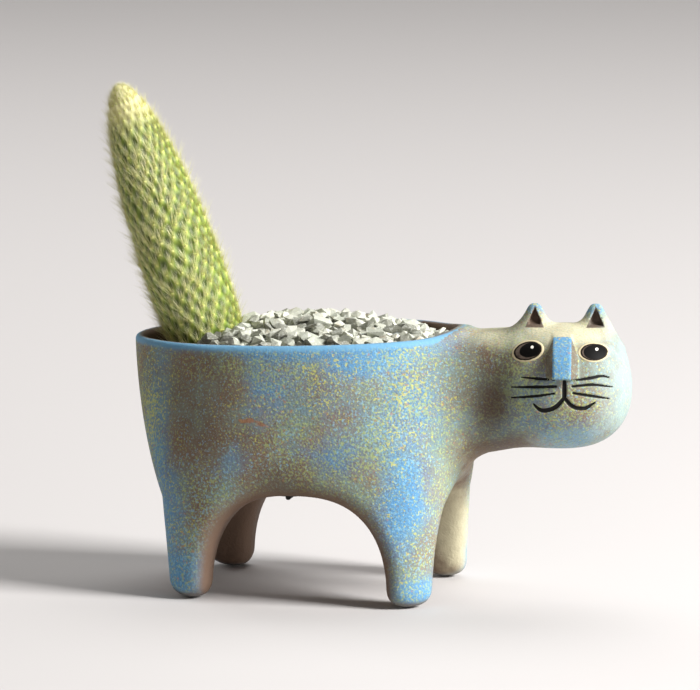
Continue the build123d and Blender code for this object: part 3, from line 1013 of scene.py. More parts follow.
@dataclass
class PlanterShell:
    """The cast clay body: a tub on four legs, with a neck, a turned head, ears and a nose."""

    tub_x: float = -33.5
    rim_height: float = 124.4
    rim_tilt: float = 2.3
    rim_length: float = 163.0
    rim_width: float = 92.0
    rim_squareness: float = 2.05
    rim_round: float = 2.6
    hip_height: float = 47.0
    hip_rear: float = 62.5
    hip_front: float = 78.0
    hip_width: float = 106.0
    hip_squareness: float = 4.4
    end_swell: float = 4.4
    side_swell: float = 1.0
    wall: float = 5.0
    floor: float = 5.0
    floor_round: float = 12.0
    foot_rear: float = 57.4
    foot_front: float = 75.6
    foot_squareness: float = 5.4
    foot_round: float = 9.0
    leg_length: float = 22.8
    leg_width: float = 22.5
    leg_round: float = 11.0
    arch_height: float = 52.0
    arch_power: float = 2.6
    arch_blend: float = 8.0
    neck_reach: float = 12.5
    neck_width: float = 50.0
    neck_depth: float = 59.3
    neck_rise: float = 5.1
    neck_squareness: float = 2.4
    neck_blend: float = 9.0
    neck_stop: float = 2.0
    neck_taper: float = 8.0
    taper_from: float = 14.0
    taper_past: float = 4.0
    throat_taper: float = 0.25
    neck_end_round: float = 2.0
    throat_slope: float = 0.22
    chest_reach: float = 36.0
    chest_flare: float = 11.0
    chest_drop: float = 20.0
    nape_slope: float = 0.1
    head_reach: float = 50.2
    head_y: float = -4.0
    head_drop: float = 20.5
    head_width: float = 62.0
    head_depth: float = 54.0
    head_height: float = 60.4
    head_turn: float = 11.0
    crown_power: float = 2.08
    jaw_power: float = 2.3
    head_squareness: float = 2.3
    jaw_lift: float = 0.8
    head_blend: float = 9.0
    ear_spacing: float = 29.0
    ear_across: float = -1.0
    ear_width: float = 27.0
    ear_depth: float = 16.0
    ear_tip: float = 40.0
    ear_seat: float = 19.0
    ear_tip_share: float = 0.16
    ear_tip_round: float = 2.4
    ear_sunk: float = 6.0
    ear_root_round: float = 2.0
    ear_blend: float = 5.0
    hollow_width: float = 7.8
    hollow_height: float = 8.6
    hollow_top: float = 2.0
    hollow_depth: float = 3.4
    hollow_round: float = 0.6
    nose_width: float = 8.4
    nose_across: float = -2.0
    nose_foot: float = 7.8
    nose_top: float = 27.0
    nose_flare: float = 0.85
    nose_proud: float = 4.6
    nose_sink: float = 0.9
    nose_fade: tuple[float, float] = (0.45, 1.05)
    nose_side_round: float = 0.8
    nose_end_round: float = 1.0
    nose_edge_round: float = 1.5
    nose_blend: float = 1.0
    drain_x: float = -5.4
    drain_radius: float = 7.0
    drain_boss_radius: float = 13.0
    drain_length: float = 10.0
    drain_round: float = 0.6
    boss_round: float = 0.8
    boss_top_round: float = 1.0
    boss_blend: float = 3.0
    groove_depth: float = 0.75
    line_weight: float = 1.3
    pitch: float = 1.6
    spare: int = 3
    net_rounds: int = 3
    cut_rounds: int = 4
    cut_stride: float = 0.6
    face_front: float = 8.0
    fine_half: float = 29.0
    fine_low: float = -13.0
    fine_high: float = 28.0
    ear_front: float = -2.0
    ear_low: float = 24.0
    fine_cuts: int = 3
    line_shift: tuple[float, float] = (-1.1, 0.5)
    mouth: tuple[Stroke, ...] = (
        ((0.3, 6.4, 0.75), (0.3, 2.0, 0.95), (0.3, -2.1, 0.9)),
        ((0.3, -1.6, 0.8), (-3.3, -5.8, 0.95), (-7.2, -7.8, 1.0), (-11.0, -7.9, 0.9), (-14.2, -5.3, 0.5)),
        ((0.3, -1.6, 0.8), (3.2, -5.0, 0.9), (6.2, -6.6, 0.9),
         (10.0, -6.8, 0.85), (12.7, -5.5, 0.7), (14.8, -4.1, 0.4)),
    )
    whiskers: tuple[Stroke, ...] = (
        ((-20.1, 7.2, 0.35), (-12.0, 7.1, 0.6), (-4.1, 6.7, 0.4)),
        ((-25.0, 2.2, 0.35), (-14.0, 3.1, 0.65), (-3.7, 3.7, 0.6)),
        ((-25.0, -2.8, 0.35), (-14.0, -1.4, 0.65), (-4.5, 0.3, 0.45)),
        ((5.8, 6.7, 0.45), (12.0, 7.5, 0.7), (18.1, 8.2, 0.55), (21.3, 7.3, 0.35)),
        ((4.1, 3.8, 0.55), (13.8, 4.4, 0.6), (22.8, 2.8, 0.35)),
        ((4.5, 0.6, 0.55), (13.0, -0.9, 0.65), (21.3, -2.7, 0.35)),
    )
    eyes: tuple[Eye, ...] = (
        Eye("eye_right", -18.3, 19.4, 7.9, 4.4, 15.0,
            EyePaint("eye_right_paint", (0.18, 0.02), (0.66, 0.66), (0.32, 0.24))),
        Eye("eye_left", 12.9, 19.3, 7.5, 4.1, -5.0,
            EyePaint("eye_left_paint", (0.06, 0.0), (0.7, 0.74), (0.16, 0.3))),
    )
    eye_rounds: int = 12
    eye_edge: float = 0.12
    eye_dome: float = 0.5
    eye_skirt: float = 0.8
    inner_edge: float = 0.8
    inner_fade: float = 3.0
    floor_line: tuple[float, float] = (58.0, 62.0)
    arch_fade: tuple[float, float] = (1.0, 11.0)
    under_fade: tuple[float, float] = (0.2, 0.75)
    under_share: float = 0.85
    chin_fade: tuple[float, float] = (78.0, 96.0)
    chin_spared: float = 0.75
    cup_fade: tuple[float, float] = (0.1, 0.6)
    nose_marked: float = 0.7
    nose_below: float = 1.0
    bridge_margin: float = 0.3
    bridge_blue: float = 0.6
    bridge_fleck: float = 0.2
    flank_pale: float = 0.2
    band_inward: float = 1.5
    band_edge: float = 0.4
    band_cut: float = 40.0
    band_cut_fade: tuple[float, float] = (0.8, 2.5)
    # Painted light on the head's forward side, which faces the key lamp: its strength, middle and spread.
    painted_glow: float = 0.9
    glow_x: float = 132.0
    glow_half: float = 20.0
    scrape: Stroke = ((-51.5, 88.2, 1.2), (-45.5, 88.8, 1.7), (-39.5, 87.6, 1.0))
    patches: tuple[SprayPatch, ...] = (
        SprayPatch(Spray.BLUE, 29, 56, 11, 26, 0.75),
        SprayPatch(Spray.BLUE, -80, 8, 18, 16, 1.0),
        SprayPatch(Spray.BLUE, 35, 6, 40, 10, 0.9),
        SprayPatch(Spray.BLUE, -94, 70, 9, 50, 0.4),
        SprayPatch(Spray.BLUE, -88, 40, 12, 30, 0.5),
        SprayPatch(Spray.BLUE, -54, 68, 14, 12, 0.55),
        SprayPatch(Spray.BLUE, -12, 72, 22, 11, 0.5),
        SprayPatch(Spray.BLUE, -30, 104, 30, 22, 0.25),
        SprayPatch(Spray.BLUE, 8, 120, 26, 9, 0.8),
        SprayPatch(Spray.BLUE, -30, 122, 80, 6, 0.6),
        SprayPatch(Spray.BLUE, 104, 82, 20, 13, 0.6),
        SprayPatch(Spray.BLUE, 98, 143, 40, 5, 0.6),
        SprayPatch(Spray.BARE_AND_SHADED, -70, 92, 20, 34, 0.75),
        # Painted shade: two bare patches low on the body, where it turns down away from the light.
        SprayPatch(Spray.BARE_AND_SHADED, -34, 62, 17, 8, 0.9),
        SprayPatch(Spray.BARE_AND_SHADED, -50, 70, 14, 12, 0.45),
        # Painted shadow of the head on the neck, over brown clay.
        SprayPatch(Spray.BROWN, 67, 97, 12, 26, 0.9),
        SprayPatch(Spray.BARE_AND_SHADED, 100, 132, 26, 7, 1.0),
        SprayPatch(Spray.FLECK, 28, 98, 20, 24, 1.0),
        SprayPatch(Spray.FLECK, -30, 104, 24, 20, 0.7),
        SprayPatch(Spray.FLECK, -100, 95, 7, 40, 0.8),
        SprayPatch(Spray.FLECK, 96, 84, 24, 20, 0.7),
        SprayPatch(Spray.FLECK, 98, 142, 40, 6, 0.8),
        SprayPatch(Spray.FLECK, 26, 16, 12, 20, 0.9),
        SprayPatch(Spray.FLECK, -76, 20, 12, 24, 0.7),
        # Pale paint on the crown, partly painted light from above.
        SprayPatch(Spray.PALE_AND_LIT, 100, 133, 26, 9, 1.0),
        # Painted light on the nape and the chest.
        SprayPatch(Spray.PALE_AND_LIT, 70, 128, 24, 6, 0.7),
        SprayPatch(Spray.PALE_AND_LIT, 50, 60, 8, 60, 0.3),
        # Painted light on the far front leg.
        SprayPatch(Spray.PALE_AND_LIT, 36, 26, 14, 30, 0.8, True),
        SprayPatch(Spray.FLECK, 46, 30, 8, 34, 0.7, True),
        SprayPatch(Spray.BLUE, 38, 4, 14, 9, 0.6, True),
        SprayPatch(Spray.FLECK, -81, 22, 12, 20, 0.6),
        # Painted light on the chin, where light bounces up from the floor.
        SprayPatch(Spray.PALE_AND_LIT, 103, 78, 18, 11, 0.8),
        SprayPatch(Spray.BLUE, 32, 96, 16, 22, 0.4),
    )

    def outline(self, z: np.ndarray) -> tuple[np.ndarray, np.ndarray, np.ndarray, np.ndarray]:
        """Rear and front reach, half width and squareness of the body at heights.

        Args:
            z: Heights over the ground.

        Returns:
            One array of each, in that order.
        """
        foot = np.clip(z / self.hip_height, 0, 1)
        share = np.clip((z - self.hip_height) / (self.rim_height - self.hip_height), 0, 1.08)
        swell = 4 * share * (1 - share)
        rear = self.foot_rear + (self.hip_rear - self.foot_rear) * foot
        rear = rear + (self.rim_length / 2 - self.hip_rear) * share + self.end_swell * swell
        front = self.foot_front + (self.hip_front - self.foot_front) * foot
        front = front + (self.rim_length / 2 - self.hip_front) * share + self.end_swell * swell
        half = (self.hip_width + (self.rim_width - self.hip_width) * share) / 2 + self.side_swell * swell
        low = self.foot_squareness + (self.hip_squareness - self.foot_squareness) * foot
        boxy = np.clip(1 - share, 0, 1) ** 2
        high = self.rim_squareness + (self.hip_squareness - self.rim_squareness) * boxy
        return rear, front, half, np.where(z < self.hip_height, low, high)

    def tub(self, points: np.ndarray, inset: float) -> np.ndarray:
        """Distance to the body's upright side, drawn in by an inset.

        Args:
            points: Rows of three coordinates in millimetres.
            inset: How far the side is drawn in.

        Returns:
            Distances in millimetres, negative inside.
        """
        rear, front, half, power = self.outline(points[:, 2])
        x = points[:, 0] - self.tub_x - (front - rear) / 2
        return oval(x, points[:, 1], (front + rear) / 2 - inset, half - inset, power)

    def rim(self, points: np.ndarray) -> np.ndarray:
        """Height over the rim's tilted plane.

        Args:
            points: Rows of three coordinates in millimetres.

        Returns:
            Heights in millimetres, negative under the plane.
        """
        tilt = math.radians(self.rim_tilt)
        x = points[:, 0] - self.tub_x
        return (points[:, 2] - self.rim_height) * math.cos(tilt) - x * math.sin(tilt)

    def belly(self, points: np.ndarray) -> np.ndarray:
        """Distance to the two crossing arches under the belly.

        Args:
            points: Rows of three coordinates in millimetres.

        Returns:
            Distances in millimetres, negative inside.
        """
        x, y, z = points.T
        length = self.foot_rear + self.foot_front - 2 * self.leg_length
        x = x - self.tub_x - (self.foot_front - self.foot_rear) / 2
        across = oval(x, z, length / 2, self.arch_height, self.arch_power)
        along = oval(y, z, self.hip_width / 2 - self.leg_width, self.arch_height, self.arch_power)
        return smooth_min(across, along, self.arch_blend)

    def cavity(self, points: np.ndarray) -> np.ndarray:
        """Distance to the planting hollow, negative inside it."""
        ground = self.arch_height + self.floor - points[:, 2]
        return smooth_max(self.tub(points, self.wall), ground, self.floor_round)

    def face(self, points: np.ndarray) -> tuple[np.ndarray, np.ndarray, np.ndarray]:
        """Places across, out of and up the face, from the middle of the head.

        Args:
            points: Rows of three coordinates in millimetres.

        Returns:
            The places across, out and up, in that order.
        """
        turn = math.radians(self.head_turn)
        x = points[:, 0] - self.tub_x - self.rim_length / 2 - self.head_reach
        y = points[:, 1] - self.head_y
        z = points[:, 2] - self.rim_height + self.head_drop
        return x * math.cos(turn) + y * math.sin(turn), x * math.sin(turn) - y * math.cos(turn), z

    def from_face(self, across: np.ndarray, out: np.ndarray, up: np.ndarray) -> np.ndarray:
        """Points of the part at places across, out of and up the face.

        Args:
            across: Places across the face, from the middle of the head.
            out: Places out of the face.
            up: Places up the face.

        Returns:
            Rows of three coordinates in millimetres.
        """
        turn = math.radians(self.head_turn)
        x = across * math.cos(turn) + out * math.sin(turn)
        x = x + self.tub_x + self.rim_length / 2 + self.head_reach
        y = across * math.sin(turn) - out * math.cos(turn) + self.head_y
        return np.stack([x, y, up + self.rim_height - self.head_drop], 1)

    def neck(self, points: np.ndarray) -> np.ndarray:
        """Distance to the neck, which flares back and down into the chest.

        Args:
            points: Rows of three coordinates in millimetres.

        Returns:
            Distances in millimetres, negative inside.
        """
        x, y, z = points.T
        behind = self.rim_length / 2 + self.neck_reach - (x - self.tub_x)
        ahead = self.head_reach - self.neck_reach
        flare = np.clip(behind, 0, self.chest_reach) / self.chest_reach
        half = self.neck_width / 2 + self.chest_flare * flare**1.5
        top = self.rim_height + self.neck_rise - self.nape_slope * behind
        under = self.rim_height + self.neck_rise - self.neck_depth - self.chest_drop * flare**1.1
        under = under + np.maximum(-behind, 0) * self.throat_slope
        sunk = self.neck_taper * ease(-behind, self.taper_from, ahead + self.taper_past)
        half, top, under = half - sunk, top - sunk, under + sunk * self.throat_taper
        middle = self.head_y * (1 - (behind + ahead) / (self.chest_reach + ahead))
        tube = oval(y - middle, z - (top + under) / 2, half, (top - under) / 2, self.neck_squareness)
        tube = smooth_max(tube, behind - self.chest_reach, self.neck_end_round)
        return smooth_max(tube, -behind - ahead + self.neck_stop, self.neck_end_round)

    def skull(self, across: np.ndarray, out: np.ndarray, up: np.ndarray) -> np.ndarray:
        """Distance to the plain rounded head.

        Args:
            across: Places across the face, from the middle of the head.
            out: Places out of the face.
            up: Places up the face.

        Returns:
            Distances in millimetres, negative inside.
        """
        tall = self.head_height / 2 - np.where(up > 0, 0, self.jaw_lift)
        half = (self.head_width / 2, self.head_depth / 2, tall)
        square = self.head_squareness
        power = np.where(up > 0, self.crown_power, self.jaw_power)
        a, b, c = np.abs(across) / half[0], np.abs(out) / half[1], np.abs(up) / half[2]
        ring = np.maximum((a**square + b**square) ** (1 / square), 1e-6)
        size = np.maximum((ring**power + c**power) ** (1 / power), 1e-6)
        round_slope = (ring / size) ** (power - 1)
        slope_a = round_slope * (a / ring) ** (square - 1) / half[0]
        slope_b = round_slope * (b / ring) ** (square - 1) / half[1]
        slope_c = (c / size) ** (power - 1) / half[2]
        return (size - 1) / np.sqrt(slope_a**2 + slope_b**2 + slope_c**2)

    def ear_sides(self, across: np.ndarray) -> list[np.ndarray]:
        """Places across the face, measured from the middle of each ear."""
        return [across - self.ear_across - side * self.ear_spacing / 2 for side in (-1, 1)]

    def ear_left(self, up: np.ndarray) -> np.ndarray:
        """Share of an ear's width and depth that is left at heights."""
        share = np.clip((up - self.ear_seat) / (self.ear_tip - self.ear_seat), 0, 1)
        return 1 - share + self.ear_tip_share * share

    def ear(self, across: np.ndarray, out: np.ndarray, up: np.ndarray) -> np.ndarray:
        """Distance to an ear with its three-cornered hollow, from its own middle.

        Args:
            across: Places across the face, from the middle of the ear.
            out: Places out of the face.
            up: Places up the face.

        Returns:
            Distances in millimetres, negative inside.
        """
        left = self.ear_left(up)
        cone = oval(across, out, self.ear_width / 2 * left, self.ear_depth / 2 * left, 2)
        cone = smooth_max(cone, up - self.ear_tip, self.ear_tip_round)
        cone = smooth_max(cone, self.ear_seat - self.ear_sunk - up, self.ear_root_round)
        return smooth_max(cone, -self.ear_hollow(across, out, up), self.hollow_round)

    def ear_hollow(self, across: np.ndarray, out: np.ndarray, up: np.ndarray) -> np.ndarray:
        """Distance to the hollow of an ear.

        Args:
            across: Places across the face, from the middle of the ear.
            out: Places out of the face.
            up: Places up the face.

        Returns:
            Distances in millimetres, negative inside.
        """
        foot = self.ear_tip - self.hollow_top - self.hollow_height
        lean = math.atan2(self.hollow_width / 2, self.hollow_height)
        side = (np.abs(across) - self.hollow_width / 2) * math.cos(lean) + (up - foot) * math.sin(lean)
        front = self.ear_depth / 2 * self.ear_left(up) - self.hollow_depth
        return np.maximum(np.maximum(side, foot - up), front - out)

    def nose(self, across: np.ndarray, out: np.ndarray, up: np.ndarray) -> np.ndarray:
        """Distance to the raised nose, which follows the brow and fades out at its top.

        Args:
            across: Places across the face, from the middle of the head.
            out: Places out of the face.
            up: Places up the face.

        Returns:
            Distances in millimetres, negative inside.
        """
        skull = self.skull(across, out, up)
        share = (up - self.nose_foot) / (self.nose_top - self.nose_foot)
        proud = self.nose_proud * (1 - self.nose_sink * ease(share, *self.nose_fade))
        half = self.nose_width / 2 + self.nose_flare * np.clip(proud - skull, 0, 2 * self.nose_proud)
        front = smooth_max(np.abs(across - self.nose_across) - half, skull - proud, self.nose_side_round)
        ends = smooth_max(self.nose_foot - up, up - self.nose_top, self.nose_end_round)
        return np.where(out > 0, smooth_max(front, ends, self.nose_edge_round), FAR)

    def plain(self, points: np.ndarray) -> np.ndarray:
        """Distance to the whole casting, without the lines cut in the face.

        Args:
            points: Rows of three coordinates in millimetres.

        Returns:
            Distances in millimetres, negative inside.
        """
        across, out, up = self.face(points)
        body = smooth_max(self.tub(points, 0), self.rim(points), self.rim_round)
        body = smooth_max(body, -self.belly(points), self.leg_round)
        drain = np.hypot(points[:, 0] - self.tub_x - self.drain_x, points[:, 1])
        ground = self.arch_height + self.floor
        seat = ground - self.drain_length - points[:, 2]
        boss = smooth_max(drain - self.drain_boss_radius, seat, self.boss_round)
        boss = smooth_max(boss, points[:, 2] - ground, self.boss_top_round)
        body = smooth_min(body, boss, self.boss_blend)
        body = smooth_max(body, -points[:, 2], self.foot_round)
        body = smooth_min(body, self.neck(points), self.neck_blend)
        head = self.skull(across, out, up)
        for beside in self.ear_sides(across):
            head = smooth_min(head, self.ear(beside, out, up), self.ear_blend)
        head = smooth_min(head, self.nose(across, out, up), self.nose_blend)
        body = smooth_min(body, head, self.head_blend)
        body = smooth_max(body, -self.cavity(points), self.rim_round)
        return smooth_max(body, self.drain_radius - drain, self.drain_round)

    def lines(self, points: np.ndarray) -> np.ndarray:
        """How deep in a cut line of the face points lie.

        Args:
            points: Rows of three coordinates in millimetres.

        Returns:
            0 outside the lines, rising to 1 in their middle.
        """
        across, out, up = self.face(points)
        depth = np.zeros(len(points))
        weight = (1, 1, self.line_weight)
        x, y = across - self.line_shift[0], up - self.line_shift[1]
        for stops in self.mouth + self.whiskers:
            depth = np.maximum(depth, line_depth(x, y, curved(stops) * weight))
        return np.where(out > self.face_front, depth, 0)

    def carved(self, points: np.ndarray) -> np.ndarray:
        """Distance to the casting with the mouth and whiskers cut in."""
        return self.plain(points) + self.groove_depth * self.lines(points)

    def sampled(self) -> tuple[np.ndarray, np.ndarray]:
        """Samples the casting on a grid around the CAD shell and nets its surface.

        Returns:
            The net's points and its faces.
        """
        low, high = (np.array(corner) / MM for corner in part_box("planter_shell"))
        low, high = low - self.spare * self.pitch, high + self.spare * self.pitch
        axes = [np.arange(low[i], high[i], self.pitch) for i in range(3)]
        rows = []
        for x in axes[0]:
            y, z = np.meshgrid(axes[1], axes[2], indexing="ij")
            slab = np.stack([np.full(y.size, x), y.ravel(), z.ravel()], 1)
            rows.append(self.plain(slab).reshape(y.shape))
        return net_surface(np.stack(rows), low, self.pitch)

    def refine(self, made: bpy.types.Object) -> None:
        """Splits the faces of the cat's face and ears finer, for the lines and hollows cut there.

        Args:
            made: The netted casting, changed in place.
        """
        grid = bmesh.new()
        grid.from_mesh(made.data)
        middles = np.array([face.calc_center_median() for face in grid.faces]) / MM
        across, out, up = self.face(middles)
        beside = np.abs(across) < self.fine_half
        front = (out > self.face_front) & beside & (up > self.fine_low) & (up < self.fine_high)
        ears = (out > self.ear_front) & beside & (up > self.ear_low) & ~front
        grid.faces.ensure_lookup_table()
        for chosen in (front, ears):
            faces = [grid.faces[i] for i in np.flatnonzero(chosen)]
            edges = list({edge for face in faces for edge in face.edges})
            bmesh.ops.subdivide_edges(grid, edges=edges, cuts=self.fine_cuts, use_grid_fill=True)
            grid.faces.ensure_lookup_table()
        grid.to_mesh(made.data)
        grid.free()

    def build(self) -> list[bpy.types.Object]:
        """Makes the casting and its eyes.

        Returns:
            The pieces, dressed and riding on the planter.
        """
        points, faces = self.sampled()
        points = settle(self.plain, points, self.net_rounds, self.pitch)
        shell = add_mesh("clay_cat", points, faces)
        self.refine(shell)
        points = settle(self.carved, points_of(shell.data), self.cut_rounds, self.cut_stride)
        shell.data.vertices.foreach_set("co", (points * MM).ravel())
        shell.data.polygons.foreach_set("use_smooth", [True] * len(shell.data.polygons))
        shell.data.update()
        self.mark_spray(shell.data, points)
        shell.data.materials.append(SprayedClay().make())
        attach(shell, PLANTER_BODY)
        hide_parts("planter_shell")
        return [shell] + [self.build_eye(eye) for eye in self.eyes]

    def mark_spray(self, mesh: bpy.types.Mesh, points: np.ndarray) -> None:
        """Stores where the clay is bare, blue, banded and inked, and where painted shade and painted light
        go.

        Args:
            mesh: The casting's mesh.
            points: Its points in millimetres.
        """
        slope = slope_of(self.plain, points)
        fall = -slope[:, 2] / np.maximum(np.linalg.norm(slope, axis=1), 1e-6)
        outside = self.tub(points, 0)
        inner = np.clip((-outside - self.inner_edge) / self.inner_fade, 0, 1)
        inner = inner * ease(points[:, 2], *self.floor_line)
        arch = 1 - ease(self.belly(points), *self.arch_fade)
        under = ease(fall, *self.under_fade) * (1 - self.chin_spared * ease(points[:, 0], *self.chin_fade))
        across, out, up = self.face(points)
        cupped = np.full(len(points), FAR)
        for beside in self.ear_sides(across):
            cupped = np.minimum(cupped, self.ear_hollow(beside, out, up))
        cup = (1 - ease(cupped, *self.cup_fade)) * (up > self.ear_seat)
        # Unsprayed inner wall, arches, undersides and ear hollows; the finish darkens them as painted shade.
        mark(mesh, "unsprayed_and_shaded", np.clip(np.maximum.reduce([inner, arch, under * self.under_share, cup]), 0, 1))
        finish = {kind: np.zeros(len(points)) for kind in Spray}
        for patch in self.patches:
            finish[patch.kind] = np.maximum(finish[patch.kind], patch.amount(points))
        off = np.abs(across - self.nose_across)
        nose = (out > 0) & (up > self.nose_foot - self.nose_below) & (up < self.nose_top)
        nose = nose & (self.skull(across, out, up) > self.nose_marked)
        bridge = nose & (off < self.nose_width / 2 + self.bridge_margin)
        flank = nose & (off < self.nose_width) & ~bridge
        finish[Spray.BLUE] = np.where(bridge, self.bridge_blue, finish[Spray.BLUE])
        finish[Spray.FLECK] = np.where(bridge, self.bridge_fleck, finish[Spray.FLECK])
        finish[Spray.BARE_AND_SHADED] = np.where(flank, 1.0, np.where(bridge, 0, finish[Spray.BARE_AND_SHADED]))
        finish[Spray.PALE_AND_LIT] = np.where(flank, self.flank_pale, finish[Spray.PALE_AND_LIT] * ~bridge)
        finish[Spray.PALE_AND_LIT] = finish[Spray.PALE_AND_LIT] * (1 - cup)
        for kind, values in finish.items():
            mark(mesh, kind.value, values)
        # Painted light on the head's forward side, which faces the key lamp.
        mark(mesh, "painted_glow", self.painted_glow * np.exp(-(((points[:, 0] - self.glow_x) / self.glow_half) ** 2)))
        rim = np.abs(self.rim(points)) + self.band_inward * np.maximum(-outside - self.band_edge, 0)
        mark(mesh, "rim", rim + self.band_cut * ease(outside, *self.band_cut_fade))
        streak = line_depth(points[:, 0], points[:, 2], np.array(self.scrape))
        mark(mesh, "scrape", np.where(points[:, 1] < 0, streak, 0))
        mark(mesh, "ink", self.lines(points))

    def build_eye(self, eye: Eye, rings: int = 14, spokes: int = 56) -> bpy.types.Object:
        """Makes one painted eye as a thin dome that follows the face.

        Args:
            eye: Its place and finish.
            rings: Rings of points from the middle out.
            spokes: Points round each ring.

        Returns:
            The dressed eye.
        """
        reach = np.concatenate([[0], np.repeat(np.arange(1, rings + 1) / rings, spokes)])
        turn = np.concatenate([[0], np.tile(np.arange(spokes) * 2 * math.pi / spokes, rings)])
        flat = np.stack([reach * np.cos(turn), reach * np.sin(turn)], 1)
        tilt = math.radians(eye.tilt)
        x, y = flat[:, 0] * eye.half_width, flat[:, 1] * eye.half_height
        across = eye.across + x * math.cos(tilt) - y * math.sin(tilt)
        up = eye.up + x * math.sin(tilt) + y * math.cos(tilt)
        out = np.full(across.shape, self.head_depth / 2)
        for _ in range(self.eye_rounds):
            out = out - self.plain(self.from_face(across, out, up))
        lift = self.eye_edge + self.eye_dome * (1 - reach**2) ** 0.5
        points = self.from_face(across, out, up)
        slope = slope_of(self.plain, points)
        normal = slope / np.linalg.norm(slope, axis=1)[:, None]
        skirt = points[-spokes:] - normal[-spokes:] * self.eye_skirt
        points = np.concatenate([points + normal * lift[:, None], skirt])
        faces: list[tuple[int, ...]] = []
        for spoke in range(spokes):
            after = (spoke + 1) % spokes
            faces.append((0, 1 + spoke, 1 + after))
            for ring in range(rings):
                near, far = 1 + ring * spokes, 1 + (ring + 1) * spokes
                faces.append((near + spoke, far + spoke, far + after, near + after))
        made = add_mesh(eye.name, points, faces)
        layer = made.data.uv_layers.new(name="eye_map")
        chart = np.concatenate([flat, flat[-spokes:]]) / 2 + 0.5
        corners = np.zeros(len(made.data.loops), np.int32)
        made.data.loops.foreach_get("vertex_index", corners)
        layer.data.foreach_set("uv", chart[corners].ravel())
        made.data.materials.append(eye.paint.make())
        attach(made, PLANTER_BODY)
        return made


